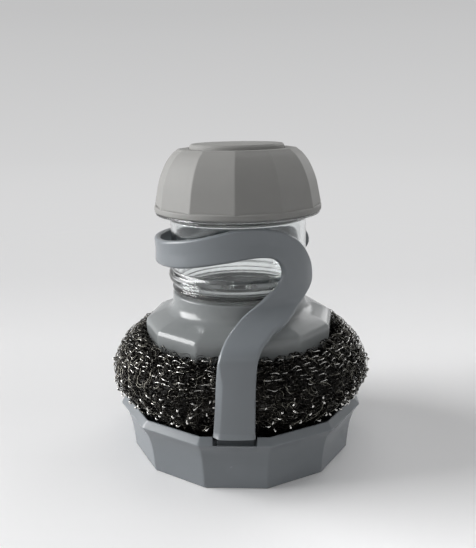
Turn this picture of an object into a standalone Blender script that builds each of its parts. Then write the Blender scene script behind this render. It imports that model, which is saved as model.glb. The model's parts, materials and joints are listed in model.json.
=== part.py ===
"""A pot brush with a soap bottle in its grip, standing in its drip tray. Metres, +Z up.

The origin is the middle of the tray's underside. The tray's arm stands at -Y.
Every piece is one named object; the pieces that only shape others are in the cutters collection.
"""
import math

import bpy
import bmesh
from mathutils import Matrix, Vector

# Gaps and seats that many pieces share, and how far the head's and the cap's corners are turned
# from the tray's
GAP = 0.0003
OVERRUN = 0.002
SEAT_OVERLAP = 0.0006
ROUND_STEPS = 32
SMALL_STEPS = 16
SIDES = 12
HEAD_TURN = math.radians(-4.4)
CAP_TURN = math.radians(-11.8)

# Drip tray
TRAY_RADIUS = 0.0460
TRAY_TAPER = 0.0046
TRAY_HEIGHT = 0.0204
TRAY_WALL = 0.0021
TRAY_FLOOR = 0.0024
RIM_RUN = 0.0021
RIM_RISE = 0.0023
RIM_LAND = 0.0005
RIB_HEIGHT = 0.0024
RIB_WIDTH = 0.0018
RIB_COUNT = 6
RIB_INNER_RADIUS = 0.0180
RIB_OUTER_RADIUS = 0.0310

# Arm, its tongue and the socket it stands in
STRAP_THICKNESS = 0.0023
STRAP_EDGE = 0.0008
STRAP_HOLLOW = 0.0005
ARM_PROUD = 0.0006
COLLAR_PLAY = 0.0008
COLLAR_HEADROOM = 0.0026
COLLAR_SWELL = 0.0017
SWELL_START = 20.0
SWELL_ARC = 220.0
FOOT_SLOT = 0.0026
NOTCH_WIDTH = 0.0146
TONGUE_WIDTH = 0.0124
TONGUE_THICKNESS = 0.0022
TONGUE_TIP_HEIGHT = 0.0100
WEB_THICKNESS = 0.0026
SOCKET_WALL = 0.0016
SOCKET_HEIGHT = 0.0155

# Wire ball
BALL_OVERHANG = 0.0013
BALL_LIP = 0.0062
BALL_RIM_ROOM = 0.0005
BALL_HOLE_PLAY = 0.0004
SKIRT_GRIP_HEIGHT = 0.0338
BALL_FOOT_RADIUS = 0.0240

# Brush head
SKIRT_FLARE = 0.0107
SKIRT_HEIGHT = 0.0176
HEAD_NECK_STEP = 0.0002
HEAD_NECK_HEIGHT = 0.0029
HEAD_WALL = 0.0020
HEAD_SOCKET_DEPTH = 0.0068
HEAD_FLOOR = 0.0020

# Mount under the head, its nut and its screws
BOSS_HEIGHT = 0.0043
BOSS_RADIUS = 0.0030
SCREW_COUNT = 3
SCREW_CIRCLE = 0.0175
SCREW_RADIUS = 0.0012
SCREW_HEAD_RADIUS = 0.0024
SCREW_HEAD_HEIGHT = 0.0016
SCREW_GRIP = 0.0026
MOUNT_ROOM = 0.0045
MOUNT_THICKNESS = 0.0020
STEM_RADIUS = 0.0085
STEM_BORE = 0.0062
STEM_LENGTH = 0.0298
NUT_RADIUS = 0.0150
NUT_FLANGE = 0.0013
NUT_HUB_WALL = 0.0017
NUT_HUB_HEIGHT = 0.0061

# Bottle
BODY_RADIUS = 0.0247
BODY_HEIGHT = 0.0198
BOTTLE_WALL = 0.0019
BEAD_RISE = 0.0012
BEAD_HEIGHT = 0.0046
WAIST_STEP = 0.0007
WAIST_HEIGHT = 0.0038
WAIST_RIDGE = 0.0007
SPIGOT_STEP = 0.0035
THREAD_RISE = 0.0006
THREAD_WIDTH = 0.0010
HEAD_GASKET_THICKNESS = 0.0010
SHOULDER_GAP = 0.0004
NOZZLE_RADIUS = 0.0066
NOZZLE_BORE = 0.0046
NOZZLE_LENGTH = 0.0058
OUTLET_RADIUS = 0.0030
VALVE_POCKET = 0.0030
FLANGE_RISE = 0.0017
FLANGE_THICKNESS = 0.0008
MOUTH_STEP = 0.0029
MOUTH_HEIGHT = 0.0098

# Soft outlet valve and the ring that holds it
VALVE_FLANGE = 0.0009
VALVE_DOME_RADIUS = 0.0024
VALVE_DOME_DROP = 0.0013
VALVE_SKIN = 0.0005
SLIT_WIDTH = 0.0003
SLIT_LENGTH = 0.0030
VALVE_RING_HEIGHT = 0.0013
VALVE_RING_WALL = 0.0012

# Cap
CAP_OVERHANG = 0.0054
CAP_RIM_HEIGHT = 0.0023
CAP_WALL = 0.0020
SHOULDER_WIDTH = 0.0043
LINER_WALL = 0.0012
LINER_PLAY = 0.0003
LINER_FLANGE_HEIGHT = 0.0015
CAP_GASKET_THICKNESS = 0.0010
CAP_GASKET_WIDTH = 0.0018

# Button, its pump cup, ring, spring and air valve
BUTTON_STEP = 0.0018
BUTTON_STOP_ROOM = 0.0008
BUTTON_PROUD = 0.0019
BUTTON_TOP_WALL = 0.0020
BUTTON_CROWN = 0.0003
BUTTON_FLANGE_WIDTH = 0.0018
BUTTON_FLANGE_HEIGHT = 0.0012
BUTTON_TRAVEL = 0.0040
PUMP_ROOM = 0.0049
PUMP_WALL = 0.0013
PUMP_DEPTH = 0.0112
PUMP_FLANGE_WIDTH = 0.0024
PUMP_FLANGE_HEIGHT = 0.0009
PISTON_PLAY = 0.0007
PISTON_WALL = 0.0017
PISTON_REACH = 0.0036
RING_HEIGHT = 0.0016
RING_DEPTH = 0.0008
RING_CLEARANCE = 0.0002
SPRING_WIRE = 0.0005
SPRING_PLAY = 0.0012
SPRING_CURLS = 6
POINTS_A_CURL = 10
AIR_STEM_RADIUS = 0.0012
AIR_DISC_RADIUS = 0.0045
AIR_DISC_THICKNESS = 0.0007
AIR_BULB_RADIUS = 0.0018
AIR_BULB_HEIGHT = 0.0016
AIR_HOLE_RADIUS = 0.0008
AIR_HOLE_CIRCLE = 0.0031
AIR_HOLE_COUNT = 4

# Strap outline, section by section from the foot to the tip behind the bottle. Each row is the angle
# round from the front and the share of the arm's height, first for the left or lower edge and then
# for the right or upper edge.
STRAP_SHARES = (
    (-8.6, 0.000, 8.6, 0.000), (-8.3, 0.045, 8.6, 0.045), (-7.6, 0.160, 8.8, 0.160),
    (-6.9, 0.300, 9.1, 0.300), (-5.9, 0.425, 9.9, 0.417), (-4.3, 0.497, 12.2, 0.474),
    (-1.0, 0.541, 16.0, 0.503), (4.5, 0.582, 20.5, 0.527), (11.5, 0.613, 28.0, 0.546),
    (18.5, 0.639, 37.0, 0.573), (25.3, 0.671, 45.5, 0.599), (30.5, 0.702, 54.5, 0.622),
    (33.7, 0.735, 63.5, 0.655), (34.7, 0.766, 67.6, 0.700), (33.4, 0.800, 65.6, 0.775),
    (30.0, 0.829, 57.5, 0.858), (25.0, 0.847, 46.5, 0.929), (17.0, 0.853, 33.0, 0.976),
    (8.5, 0.849, 18.5, 0.998), (-1.0, 0.836, 4.0, 0.999), (-11.5, 0.823, -9.6, 0.977),
    (-24.0, 0.805, -23.7, 0.951), (-40.0, 0.786, -40.0, 0.930), (-62.0, 0.773, -62.0, 0.910),
    (-90.0, 0.766, -90.0, 0.906), (-130.0, 0.763, -130.0, 0.904), (-175.0, 0.762, -175.0, 0.903),
    (-205.0, 0.763, -205.0, 0.902), (-231.0, 0.765, -231.0, 0.900), (-240.6, 0.772, -240.6, 0.893),
    (-245.0, 0.792, -245.0, 0.873), (-247.0, 0.820, -247.0, 0.845),
)
STRAP_STEPS = 2
BEND_START_SHARE = 0.395
BEND_END_SHARE = 0.665
BEND_ABOVE_BALL = 0.0008
STRAP_ACROSS_SHARES = (-0.86, -0.3, 0.3, 0.86)

# Turned outlines as shares: first of the radius between two named ones, then of the height
SKIRT_SHARES = ((0.841, 0.0), (0.972, 0.233), (1.0, 0.4375), (0.822, 0.540), (0.598, 0.631),
                (0.393, 0.716), (0.215, 0.801), (0.075, 0.898), (-0.020, 1.0))
TRAY_WALL_SHARES = ((0.0, 0.0), (0.10, 0.28), (0.20, 0.50), (0.37, 0.69), (0.62, 0.86), (1.0, 1.0))
CAP_SHARES = ((1.0, 0.0), (0.932, 0.162), (0.797, 0.439), (0.560, 0.706), (0.288, 0.886), (0.045, 0.980),
              (0.0, 1.0))
BALL_UPPER_SHARES = ((0, 0.975), (0.165, 1), (0.413, 0.93), (0.678, 0.807), (0.876, 0.652), (0.975, 0.525))
BALL_FLANK_SHARES = ((1, 0.443), (1, 0.348), (0.88, 0.275), (0.572, 0.172))
BALL_LOWER_SHARES = ((1, 1), (0.802, 0.724), (0.458, 0.301), (0.172, 0.083), (0, 0))
BEAD_SHARES = ((0.0, 1.0), (0.80, 0.80), (1.0, 0.50), (0.80, 0.20), (-0.35, 0.0))
MOUTH_THREAD_SHARES = (0.22, 0.48, 0.74)
SPIGOT_THREAD_SHARES = (0.30, 0.66)
WAIST_RIDGE_SHARE = 0.42

# Colours of the pieces: red, green, blue, roughness, metallic
GREY = (0.205, 0.225, 0.240, 0.32, 0.0)
CAP_GREY = (0.330, 0.320, 0.300, 0.55, 0.0)
CLEAR = (0.85, 0.87, 0.88, 0.05, 0.0)
WIRE = (0.18, 0.17, 0.16, 0.30, 1.0)
STEEL = (0.60, 0.60, 0.60, 0.25, 1.0)
INNER_WHITE = (0.72, 0.72, 0.70, 0.45, 0.0)
SILICONE = (0.80, 0.80, 0.78, 0.60, 0.0)

# Heights, each from the piece that carries it
RIB_TOP = TRAY_FLOOR + RIB_HEIGHT
BALL_Z = RIB_TOP + GAP
BALL_RIM_Z = TRAY_HEIGHT + GAP
SKIRT_Z = BALL_Z + SKIRT_GRIP_HEIGHT
BALL_TOP = SKIRT_Z + BALL_LIP
SKIRT_TOP = SKIRT_Z + SKIRT_HEIGHT
HEAD_TOP = SKIRT_TOP + HEAD_NECK_HEIGHT
SOCKET_FLOOR = HEAD_TOP - HEAD_SOCKET_DEPTH
HEAD_UNDERSIDE = SOCKET_FLOOR - HEAD_FLOOR
MOUNT_TOP = HEAD_UNDERSIDE - BOSS_HEIGHT - GAP
MOUNT_Z = MOUNT_TOP - MOUNT_THICKNESS
STEM_Z = MOUNT_Z - STEM_LENGTH
NUT_Z = STEM_Z - GAP - NUT_FLANGE
HEAD_GASKET_Z = SOCKET_FLOOR + GAP
SPIGOT_Z = HEAD_GASKET_Z + HEAD_GASKET_THICKNESS + GAP
BOTTLE_SHOULDER = HEAD_TOP + SHOULDER_GAP
WAIST_TOP = BOTTLE_SHOULDER + WAIST_HEIGHT
BEAD_TOP = WAIST_TOP + BEAD_HEIGHT
FLANGE_Z = BEAD_TOP + BODY_HEIGHT
FLANGE_TOP = FLANGE_Z + FLANGE_THICKNESS
MOUTH_TOP = FLANGE_TOP + MOUTH_HEIGHT
NOZZLE_Z = SPIGOT_Z - NOZZLE_LENGTH
CAP_Z = FLANGE_TOP + GAP
CAP_GASKET_Z = MOUTH_TOP + GAP
LINER_CEILING = CAP_GASKET_Z + CAP_GASKET_THICKNESS + GAP
LINER_TOP = LINER_CEILING + LINER_WALL
PUMP_SEAT = LINER_TOP + GAP
PUMP_TOP = PUMP_SEAT + PUMP_FLANGE_HEIGHT
PUMP_Z = PUMP_TOP - PUMP_DEPTH
PUMP_FLOOR = PUMP_Z + PUMP_WALL
BUTTON_FLANGE_Z = PUMP_TOP + BUTTON_STOP_ROOM + BUTTON_TRAVEL
BUTTON_FLANGE_TOP = BUTTON_FLANGE_Z + BUTTON_FLANGE_HEIGHT
CAP_CEILING = BUTTON_FLANGE_TOP + GAP
CAP_TOP = CAP_CEILING + CAP_WALL
BUTTON_TOP = CAP_TOP + BUTTON_PROUD
BUTTON_Z = PUMP_TOP - PISTON_REACH
BUTTON_CEILING = BUTTON_TOP - BUTTON_CROWN - BUTTON_TOP_WALL
ARM_FOOT_Z = TRAY_HEIGHT - RIM_RISE + FOOT_SLOT
ARM_TOP = CAP_Z - COLLAR_HEADROOM

# Radii, each from the piece that it fits
TRAY_FOOT_RADIUS = TRAY_RADIUS - TRAY_TAPER
BALL_RADIUS = TRAY_RADIUS + BALL_OVERHANG
BEAD_RADIUS = BODY_RADIUS + BEAD_RISE
COLLAR_RADIUS = BEAD_RADIUS + COLLAR_PLAY + STRAP_THICKNESS
FLAT_SHARE = math.cos(math.pi / SIDES)
RIM_INNER_FLAT = (TRAY_RADIUS - RIM_RUN - RIM_LAND) * FLAT_SHARE
BALL_RIM_RADIUS = RIM_INNER_FLAT - BALL_RIM_ROOM
ARM_RADIUS = TRAY_RADIUS + ARM_PROUD
WAIST_RADIUS = BODY_RADIUS - WAIST_STEP
SPIGOT_RADIUS = BODY_RADIUS - SPIGOT_STEP
MOUTH_RADIUS = BODY_RADIUS - MOUTH_STEP
HEAD_NECK_RADIUS = BODY_RADIUS - HEAD_NECK_STEP
SKIRT_RADIUS = HEAD_NECK_RADIUS + SKIRT_FLARE
HEAD_BORE = SPIGOT_RADIUS + THREAD_RISE + GAP
MOUTH_BORE = MOUTH_RADIUS - BOTTLE_WALL
MOUNT_RADIUS = (SKIRT_RADIUS - HEAD_WALL) * FLAT_SHARE - MOUNT_ROOM
PUMP_RADIUS = MOUTH_BORE - PUMP_ROOM
BUTTON_RADIUS = PUMP_RADIUS + BUTTON_STEP
LINER_BORE = MOUTH_RADIUS + THREAD_RISE + LINER_PLAY
LINER_RADIUS = LINER_BORE + LINER_WALL
CAP_RADIUS = BODY_RADIUS + CAP_OVERHANG
CAP_SHOULDER_RADIUS = BUTTON_RADIUS + SHOULDER_WIDTH
PUMP_BORE = PUMP_RADIUS - PUMP_WALL
PISTON_RADIUS = PUMP_BORE - PISTON_PLAY
PISTON_BORE = PISTON_RADIUS - PISTON_WALL
SPRING_RADIUS = PISTON_BORE - SPRING_PLAY - SPRING_WIRE
NUT_BORE = STEM_RADIUS + GAP
NUT_HUB_RADIUS = NUT_BORE + NUT_HUB_WALL
BALL_BORE = NUT_HUB_RADIUS + BALL_HOLE_PLAY

COLLECTIONS = {}


def clear_scene():
    """Remove every object and keep two empty collections."""
    for thing in list(bpy.data.objects):
        bpy.data.objects.remove(thing, do_unlink=True)
    for name in ("pot_brush", "cutters"):
        group = bpy.data.collections.get(name) or bpy.data.collections.new(name)
        if group.name not in bpy.context.scene.collection.children:
            bpy.context.scene.collection.children.link(group)
        COLLECTIONS[name] = group


def give_material(piece, look):
    """Give the piece its own Principled material."""
    red, green, blue, roughness, metallic = look
    material = bpy.data.materials.new(piece.name + "_finish")
    material.use_nodes = True
    shader = material.node_tree.nodes["Principled BSDF"]
    shader.inputs["Base Color"].default_value = (red, green, blue, 1.0)
    shader.inputs["Roughness"].default_value = roughness
    shader.inputs["Metallic"].default_value = metallic
    piece.data.materials.append(material)


def place(name, mesh, look=None):
    """Make an object of a mesh: a piece if it has a look, and a cutter if it has none."""
    piece = bpy.data.objects.new(name, mesh)
    if look is None:
        COLLECTIONS["cutters"].objects.link(piece)
        piece.hide_render = True
        piece.display_type = "WIRE"
    else:
        COLLECTIONS["pot_brush"].objects.link(piece)
        give_material(piece, look)
    return piece


def turned(name, profile, look=None, steps=ROUND_STEPS, closed=True):
    """Turn a profile of (radius, height) points, which runs down its outer side, round the Z axis.

    A twelve-sided shape has a flat side, and not a corner, towards -Y.
    """
    mesh = bpy.data.meshes.new(name)
    vertices = [(radius, 0, height) for radius, height in profile]
    edges = [(i, i + 1) for i in range(len(profile) - 1)]
    if closed:
        edges.append((len(profile) - 1, 0))
    mesh.from_pydata(vertices, edges, [])
    piece = place(name, mesh, look)
    screw = piece.modifiers.new("turn", "SCREW")
    screw.steps = steps
    screw.render_steps = steps
    screw.use_merge_vertices = True
    screw.merge_threshold = 0.00001
    screw.use_smooth_shade = steps > SIDES
    if steps == SIDES:
        piece.rotation_euler.z = math.pi / SIDES
    return piece


def block(name, low, high, look=None):
    """A box between two corners."""
    mesh = bpy.data.meshes.new(name)
    shape = bmesh.new()
    bmesh.ops.create_cube(shape, size=1.0)
    size = Vector(high) - Vector(low)
    middle = (Vector(high) + Vector(low)) / 2
    bmesh.ops.transform(shape, matrix=Matrix.LocRotScale(middle, None, size), verts=shape.verts)
    shape.to_mesh(mesh)
    shape.free()
    return place(name, mesh, look)


def ring_of_rods(name, count, circle, radius, low, high, look=None, steps=SMALL_STEPS):
    """Upright rods spread evenly on a circle, in one mesh of separate bodies."""
    mesh = bpy.data.meshes.new(name)
    shape = bmesh.new()
    for i in range(count):
        turn = Matrix.Rotation(2 * math.pi * (i + 0.5) / count, 4, "Z")
        spot = turn @ Matrix.Translation((circle, 0, (low + high) / 2))
        bmesh.ops.create_cone(shape, cap_ends=True, segments=steps, radius1=radius, radius2=radius,
                              depth=high - low, matrix=spot)
    shape.to_mesh(mesh)
    shape.free()
    return place(name, mesh, look)


def boolean(piece, tool, operation):
    """Cut a piece by a cutter, or join a shape to it."""
    modifier = piece.modifiers.new(tool.name, "BOOLEAN")
    modifier.operation = operation
    modifier.object = tool
    modifier.solver = "EXACT"


def cut(piece, tool):
    boolean(piece, tool, "DIFFERENCE")


def join(piece, tool):
    boolean(piece, tool, "UNION")


def between(start, end, share):
    return start + (end - start) * share


def ridges(radius, low, high, shares, rise, width):
    """Points of round thread ridges, from the top down, on a wall between two heights."""
    points = []
    for share in sorted(shares, reverse=True):
        middle = between(low, high, share)
        points += [(radius, middle + width), (radius + rise, middle + width / 2),
                   (radius + rise, middle - width / 2), (radius, middle - width)]
    return points


def tray_outer_radius(height):
    """Corner radius of the tray's flared outer wall at a height."""
    up = height / (TRAY_HEIGHT - RIM_RISE)
    rows = TRAY_WALL_SHARES
    for (low_out, low_up), (high_out, high_up) in zip(rows, rows[1:]):
        if up <= high_up:
            break
    out = between(low_out, high_out, min((up - low_up) / (high_up - low_up), 1))
    return between(TRAY_FOOT_RADIUS, TRAY_RADIUS, out)


def tray_inner_radius(height):
    """Corner radius of the tray's inner wall at a height."""
    return tray_outer_radius(max(height, TRAY_FLOOR)) - TRAY_WALL / FLAT_SHARE


def wall_heights(low, high):
    """The heights of the tray wall's rows that lie between two others."""
    brim = TRAY_HEIGHT - RIM_RISE
    return [brim * row[1] for row in TRAY_WALL_SHARES if low < brim * row[1] < high]


TONGUE_OUTER = tray_inner_radius(TONGUE_TIP_HEIGHT) * FLAT_SHARE - GAP
TONGUE_INNER = TONGUE_OUTER - TONGUE_THICKNESS
SOCKET_INNER = TONGUE_INNER - GAP - SOCKET_WALL
SOCKET_HALF = TONGUE_WIDTH / 2 + GAP + SOCKET_WALL


def make_base_tray():
    """The twelve-sided drip tray with its ribs, the arm's socket and the notch in its rim."""
    brim = TRAY_HEIGHT - RIM_RISE
    rim = TRAY_RADIUS - RIM_RUN
    between_rows = wall_heights(TRAY_FLOOR, brim)
    profile = [(0, TRAY_FLOOR), (tray_inner_radius(TRAY_FLOOR), TRAY_FLOOR)]
    profile += [(tray_inner_radius(height), height) for height in between_rows]
    profile += [(rim - RIM_LAND, brim), (rim - RIM_LAND, TRAY_HEIGHT), (rim, TRAY_HEIGHT)]
    profile += [(tray_outer_radius(height), height) for height in [brim] + wall_heights(0, brim)[::-1]]
    profile += [(TRAY_FOOT_RADIUS, 0), (0, 0)]
    tray = turned("base_tray", profile, GREY, steps=SIDES, closed=False)
    join(tray, make_socket())
    pocket = block("tray_pocket", (-TONGUE_WIDTH / 2 - GAP, -TONGUE_OUTER - GAP, TONGUE_TIP_HEIGHT - GAP),
                   (TONGUE_WIDTH / 2 + GAP, -TONGUE_INNER + GAP, TRAY_HEIGHT + OVERRUN))
    cut(tray, pocket)
    notch = block("tray_notch", (-NOTCH_WIDTH / 2, -TRAY_RADIUS - OVERRUN, brim),
                  (NOTCH_WIDTH / 2, -SOCKET_INNER, TRAY_HEIGHT + OVERRUN))
    cut(tray, notch)
    join(tray, make_ribs())
    return tray


def make_socket():
    """The block inside the tray's front wall that the arm's tongue goes into."""
    heights = [TRAY_FLOOR / 2, TRAY_FLOOR] + wall_heights(TRAY_FLOOR, SOCKET_HEIGHT) + [SOCKET_HEIGHT]
    vertices = []
    for height in heights:
        outer = tray_inner_radius(height) * FLAT_SHARE + TRAY_WALL / 2
        vertices += [(-SOCKET_HALF, -outer, height), (SOCKET_HALF, -outer, height),
                     (SOCKET_HALF, -SOCKET_INNER, height), (-SOCKET_HALF, -SOCKET_INNER, height)]
    last = len(vertices) - 4
    faces = [(3, 2, 1, 0), (last, last + 1, last + 2, last + 3)]
    for start in range(0, last, 4):
        for i in range(4):
            k = (i + 1) % 4
            faces.append((start + i, start + k, start + 4 + k, start + 4 + i))
    mesh = bpy.data.meshes.new("tray_socket")
    mesh.from_pydata(vertices, [], faces)
    return place("tray_socket", mesh)


def make_ribs():
    """Low radial ribs that keep the wire ball out of the drips."""
    mesh = bpy.data.meshes.new("tray_ribs")
    shape = bmesh.new()
    length = RIB_OUTER_RADIUS - RIB_INNER_RADIUS
    rise = RIB_HEIGHT + TRAY_FLOOR / 2
    size = Vector((length, RIB_WIDTH, rise))
    for i in range(RIB_COUNT):
        turn = Matrix.Rotation(2 * math.pi * i / RIB_COUNT, 4, "Z")
        spot = Matrix.Translation((RIB_INNER_RADIUS + length / 2, 0, RIB_TOP - rise / 2))
        cube = bmesh.ops.create_cube(shape, size=1.0)["verts"]
        bmesh.ops.transform(shape, matrix=turn @ spot @ Matrix.Diagonal(size).to_4x4(), verts=cube)
    shape.to_mesh(mesh)
    shape.free()
    return place("tray_ribs", mesh)


def strap_height(share):
    """Height for a share: up to the bend the arm follows the ball, and past it the bottle."""
    bend_z = BALL_TOP + BEND_ABOVE_BALL
    if share < BEND_START_SHARE:
        return between(ARM_FOOT_Z, bend_z, share / BEND_START_SHARE)
    return between(bend_z, ARM_TOP, (share - BEND_START_SHARE) / (1 - BEND_START_SHARE))


def bend_radius(height):
    """Outer radius and slope of the strap at a height: upright, then drawn in to the collar."""
    low = strap_height(BEND_START_SHARE)
    high = strap_height(BEND_END_SHARE)
    share = min(max((height - low) / (high - low), 0), 1)
    drawn = (ARM_RADIUS - COLLAR_RADIUS) * share * share * (3 - 2 * share)
    slope = (ARM_RADIUS - COLLAR_RADIUS) * 6 * share * (1 - share) / (high - low)
    return ARM_RADIUS - drawn, slope


def collar_swell(angle):
    """How much further the collar stands off the bottle at an angle: most at its left side."""
    share = min(max((SWELL_START - angle) / SWELL_ARC, 0), 1)
    return COLLAR_SWELL * (1 - math.cos(2 * math.pi * share)) / 2


def strap_point(angle, share, depth):
    """A point of the strap, at a depth under its outer face."""
    height = strap_height(share)
    radius, slope = bend_radius(height)
    radius += collar_swell(angle)
    turn = math.radians(angle)
    outward = Vector((math.sin(turn), -math.cos(turn), 0))
    normal = (outward + Vector((0, 0, slope))).normalized()
    return outward * radius + Vector((0, 0, height)) - normal * depth


def catmull(rows, steps):
    """More rows, on a smooth curve through the given ones."""
    smooth = []
    last = len(rows) - 1
    for i in range(last):
        a, b, c, d = rows[max(i - 1, 0)], rows[i], rows[i + 1], rows[min(i + 2, last)]
        for k in range(steps):
            t = k / steps
            smooth.append(tuple(
                0.5 * (2 * q + (r - p) * t + (2 * p - 5 * q + 4 * r - s) * t ** 2
                       + (3 * q - p - 3 * r + s) * t ** 3)
                for p, q, r, s in zip(a, b, c, d)))
    smooth.append(rows[last])
    return smooth


def strap_section(left_angle, left_share, right_angle, right_share):
    """The ring of points round one section: outer face, right edge, inner face, left edge."""
    width = (strap_point(left_angle, left_share, 0) - strap_point(right_angle, right_share, 0)).length
    inset = min(2 * STRAP_EDGE / width, 0.5)
    across = [min(max(share, inset - 1), 1 - inset) for share in STRAP_ACROSS_SHARES]

    def at(share, depth):
        mix = (share + 1) / 2
        angle = between(left_angle, right_angle, mix)
        return strap_point(angle, between(left_share, right_share, mix), depth)

    hollow = STRAP_HOLLOW * min(max((left_share - BEND_START_SHARE) / BEND_END_SHARE, 0), 1)
    outer = [at(share, hollow * (1 - abs(share))) for share in across]
    right = [at(1, STRAP_EDGE), at(1, STRAP_THICKNESS - STRAP_EDGE)]
    inner = [at(share, STRAP_THICKNESS) for share in reversed(across)]
    left = [at(-1, STRAP_THICKNESS - STRAP_EDGE), at(-1, STRAP_EDGE)]
    return outer + right + inner + left


def make_holder_arm():
    """One strap: it rises before the ball, bends aside and closes round the bottle as an open collar."""
    mesh = bpy.data.meshes.new("holder_arm")
    shape = bmesh.new()
    rings = [[shape.verts.new(point) for point in strap_section(*row)]
             for row in catmull(STRAP_SHARES, STRAP_STEPS)]
    for ring, after in zip(rings, rings[1:]):
        for i in range(len(ring)):
            k = (i + 1) % len(ring)
            shape.faces.new((ring[i], ring[k], after[k], after[i]))
    shape.faces.new(list(reversed(rings[0])))
    shape.faces.new(rings[-1])
    bmesh.ops.recalc_face_normals(shape, faces=shape.faces)
    shape.to_mesh(mesh)
    shape.free()
    mesh.shade_smooth()
    mesh.set_sharp_from_angle(angle=math.radians(50))
    arm = place("holder_arm", mesh, GREY)
    web_outer = ARM_RADIUS - STRAP_THICKNESS / 2 - GAP
    half = TONGUE_WIDTH / 2
    web = block("arm_web", (-half, -web_outer, ARM_FOOT_Z + SEAT_OVERLAP / 2),
                (half, -TONGUE_INNER, ARM_FOOT_Z + WEB_THICKNESS))
    tongue = block("arm_tongue", (-half, -TONGUE_OUTER, TONGUE_TIP_HEIGHT),
                   (half, -TONGUE_INNER, ARM_FOOT_Z + WEB_THICKNESS - SEAT_OVERLAP))
    join(web, tongue)
    join(arm, web)
    return arm


def make_wire_ball():
    """The scouring ball: a round ring with a groove for the skirt and a dent for the arm."""
    inner_bump = MOUNT_Z - SCREW_HEAD_HEIGHT - 2 * GAP
    groove_z = SKIRT_Z - 2 * GAP
    skirt_low = skirt_radius(0)
    groove_in = (skirt_low - HEAD_WALL) * FLAT_SHARE - 2 * GAP
    groove_out = skirt_low + 4 * GAP
    lip = SKIRT_RADIUS + 2 * GAP
    profile = [(between(lip, BALL_RADIUS, r), between(BALL_RIM_Z, BALL_TOP, z))
               for r, z in BALL_UPPER_SHARES]
    profile += [(between(BALL_RIM_RADIUS, BALL_RADIUS, r), between(BALL_RIM_Z, BALL_TOP, z))
                for r, z in BALL_FLANK_SHARES]
    profile += [(between(BALL_FOOT_RADIUS, BALL_RIM_RADIUS, r), between(BALL_Z, BALL_RIM_Z, z))
                for r, z in BALL_LOWER_SHARES]
    profile += [(NUT_RADIUS + 2 * GAP, BALL_Z), (NUT_RADIUS + 2 * GAP, NUT_Z + NUT_FLANGE + GAP),
                (BALL_BORE, NUT_Z + NUT_FLANGE + GAP), (BALL_BORE, inner_bump),
                (groove_in - GAP, inner_bump), (groove_in, groove_z), (groove_out, groove_z)]
    ball = turned("wire_ball", profile, WIRE, steps=ROUND_STEPS)
    edge_angle = math.radians(max(row[2] for row in STRAP_SHARES[:5]))
    dent = (ARM_RADIUS - STRAP_THICKNESS) * math.cos(edge_angle) - 2 * GAP
    edge = ARM_RADIUS * math.sin(edge_angle)
    top = BALL_TOP + OVERRUN
    room = 2 * GAP
    web_top = ARM_FOOT_Z + WEB_THICKNESS + room
    cut(ball, block("dent_strap", (-edge - room, -BALL_RADIUS - OVERRUN, ARM_FOOT_Z - OVERRUN),
                    (edge + room, -dent, top)))
    cut(ball, block("dent_tongue", (-TONGUE_WIDTH / 2 - room, -BALL_RADIUS - OVERRUN, BALL_Z - OVERRUN),
                    (TONGUE_WIDTH / 2 + room, -TONGUE_INNER + room, web_top)))
    cut(ball, block("dent_socket", (-SOCKET_HALF - room, -BALL_RADIUS - OVERRUN, BALL_Z - OVERRUN),
                    (SOCKET_HALF + room, -SOCKET_INNER + room, SOCKET_HEIGHT + room)))
    return ball


def skirt_radius(share):
    """Corner radius of the skirt for a row of its shares, given by number."""
    return between(HEAD_NECK_RADIUS, SKIRT_RADIUS, SKIRT_SHARES[share][0])


def make_brush_head():
    """The twelve-sided skirt with the round socket for the bottle and the bosses for the mount."""
    outer = [(skirt_radius(i), SKIRT_Z + SKIRT_HEIGHT * row[1]) for i, row in enumerate(SKIRT_SHARES)]
    outer.reverse()
    inside = [(radius - HEAD_WALL, height) for radius, height in reversed(outer[-3:])]
    bend_radius_in = skirt_radius(3) - HEAD_WALL
    bend_z = SKIRT_Z + SKIRT_HEIGHT * SKIRT_SHARES[3][1] - HEAD_WALL / 2
    roof_radius = skirt_radius(4) - 2 * HEAD_WALL
    seam = HEAD_NECK_RADIUS - HEAD_WALL / 2
    inside += [(bend_radius_in, bend_z), (roof_radius, HEAD_UNDERSIDE - GAP),
               (seam, HEAD_UNDERSIDE + GAP), (seam, SKIRT_TOP)]
    skirt = turned("head_skirt", outer + inside, steps=SIDES)
    skirt.rotation_euler.z += HEAD_TURN
    hole = NOZZLE_RADIUS + GAP
    core = [(HEAD_NECK_RADIUS, HEAD_TOP), (HEAD_NECK_RADIUS, HEAD_UNDERSIDE), (hole, HEAD_UNDERSIDE),
            (hole, SOCKET_FLOOR), (HEAD_BORE, SOCKET_FLOOR), (HEAD_BORE, HEAD_TOP)]
    head = turned("brush_head", core, GREY)
    join(head, skirt)
    bosses = ring_of_rods("head_bosses", SCREW_COUNT, SCREW_CIRCLE, BOSS_RADIUS,
                          HEAD_UNDERSIDE - BOSS_HEIGHT, HEAD_UNDERSIDE + HEAD_FLOOR / 2)
    join(head, bosses)
    holes = ring_of_rods("head_screw_holes", SCREW_COUNT, SCREW_CIRCLE, SCREW_RADIUS + GAP,
                         HEAD_UNDERSIDE - BOSS_HEIGHT - OVERRUN,
                         HEAD_UNDERSIDE - BOSS_HEIGHT + SCREW_GRIP + GAP)
    cut(head, holes)
    return head


def make_head_gasket():
    """The flat ring between the bottle's spigot and the socket's floor."""
    outer = HEAD_BORE - GAP
    inner = SPIGOT_RADIUS - BOTTLE_WALL - HEAD_GASKET_THICKNESS
    top = HEAD_GASKET_Z + HEAD_GASKET_THICKNESS
    return turned("head_gasket", [(outer, top), (outer, HEAD_GASKET_Z), (inner, HEAD_GASKET_Z),
                                  (inner, top)], SILICONE)


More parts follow.
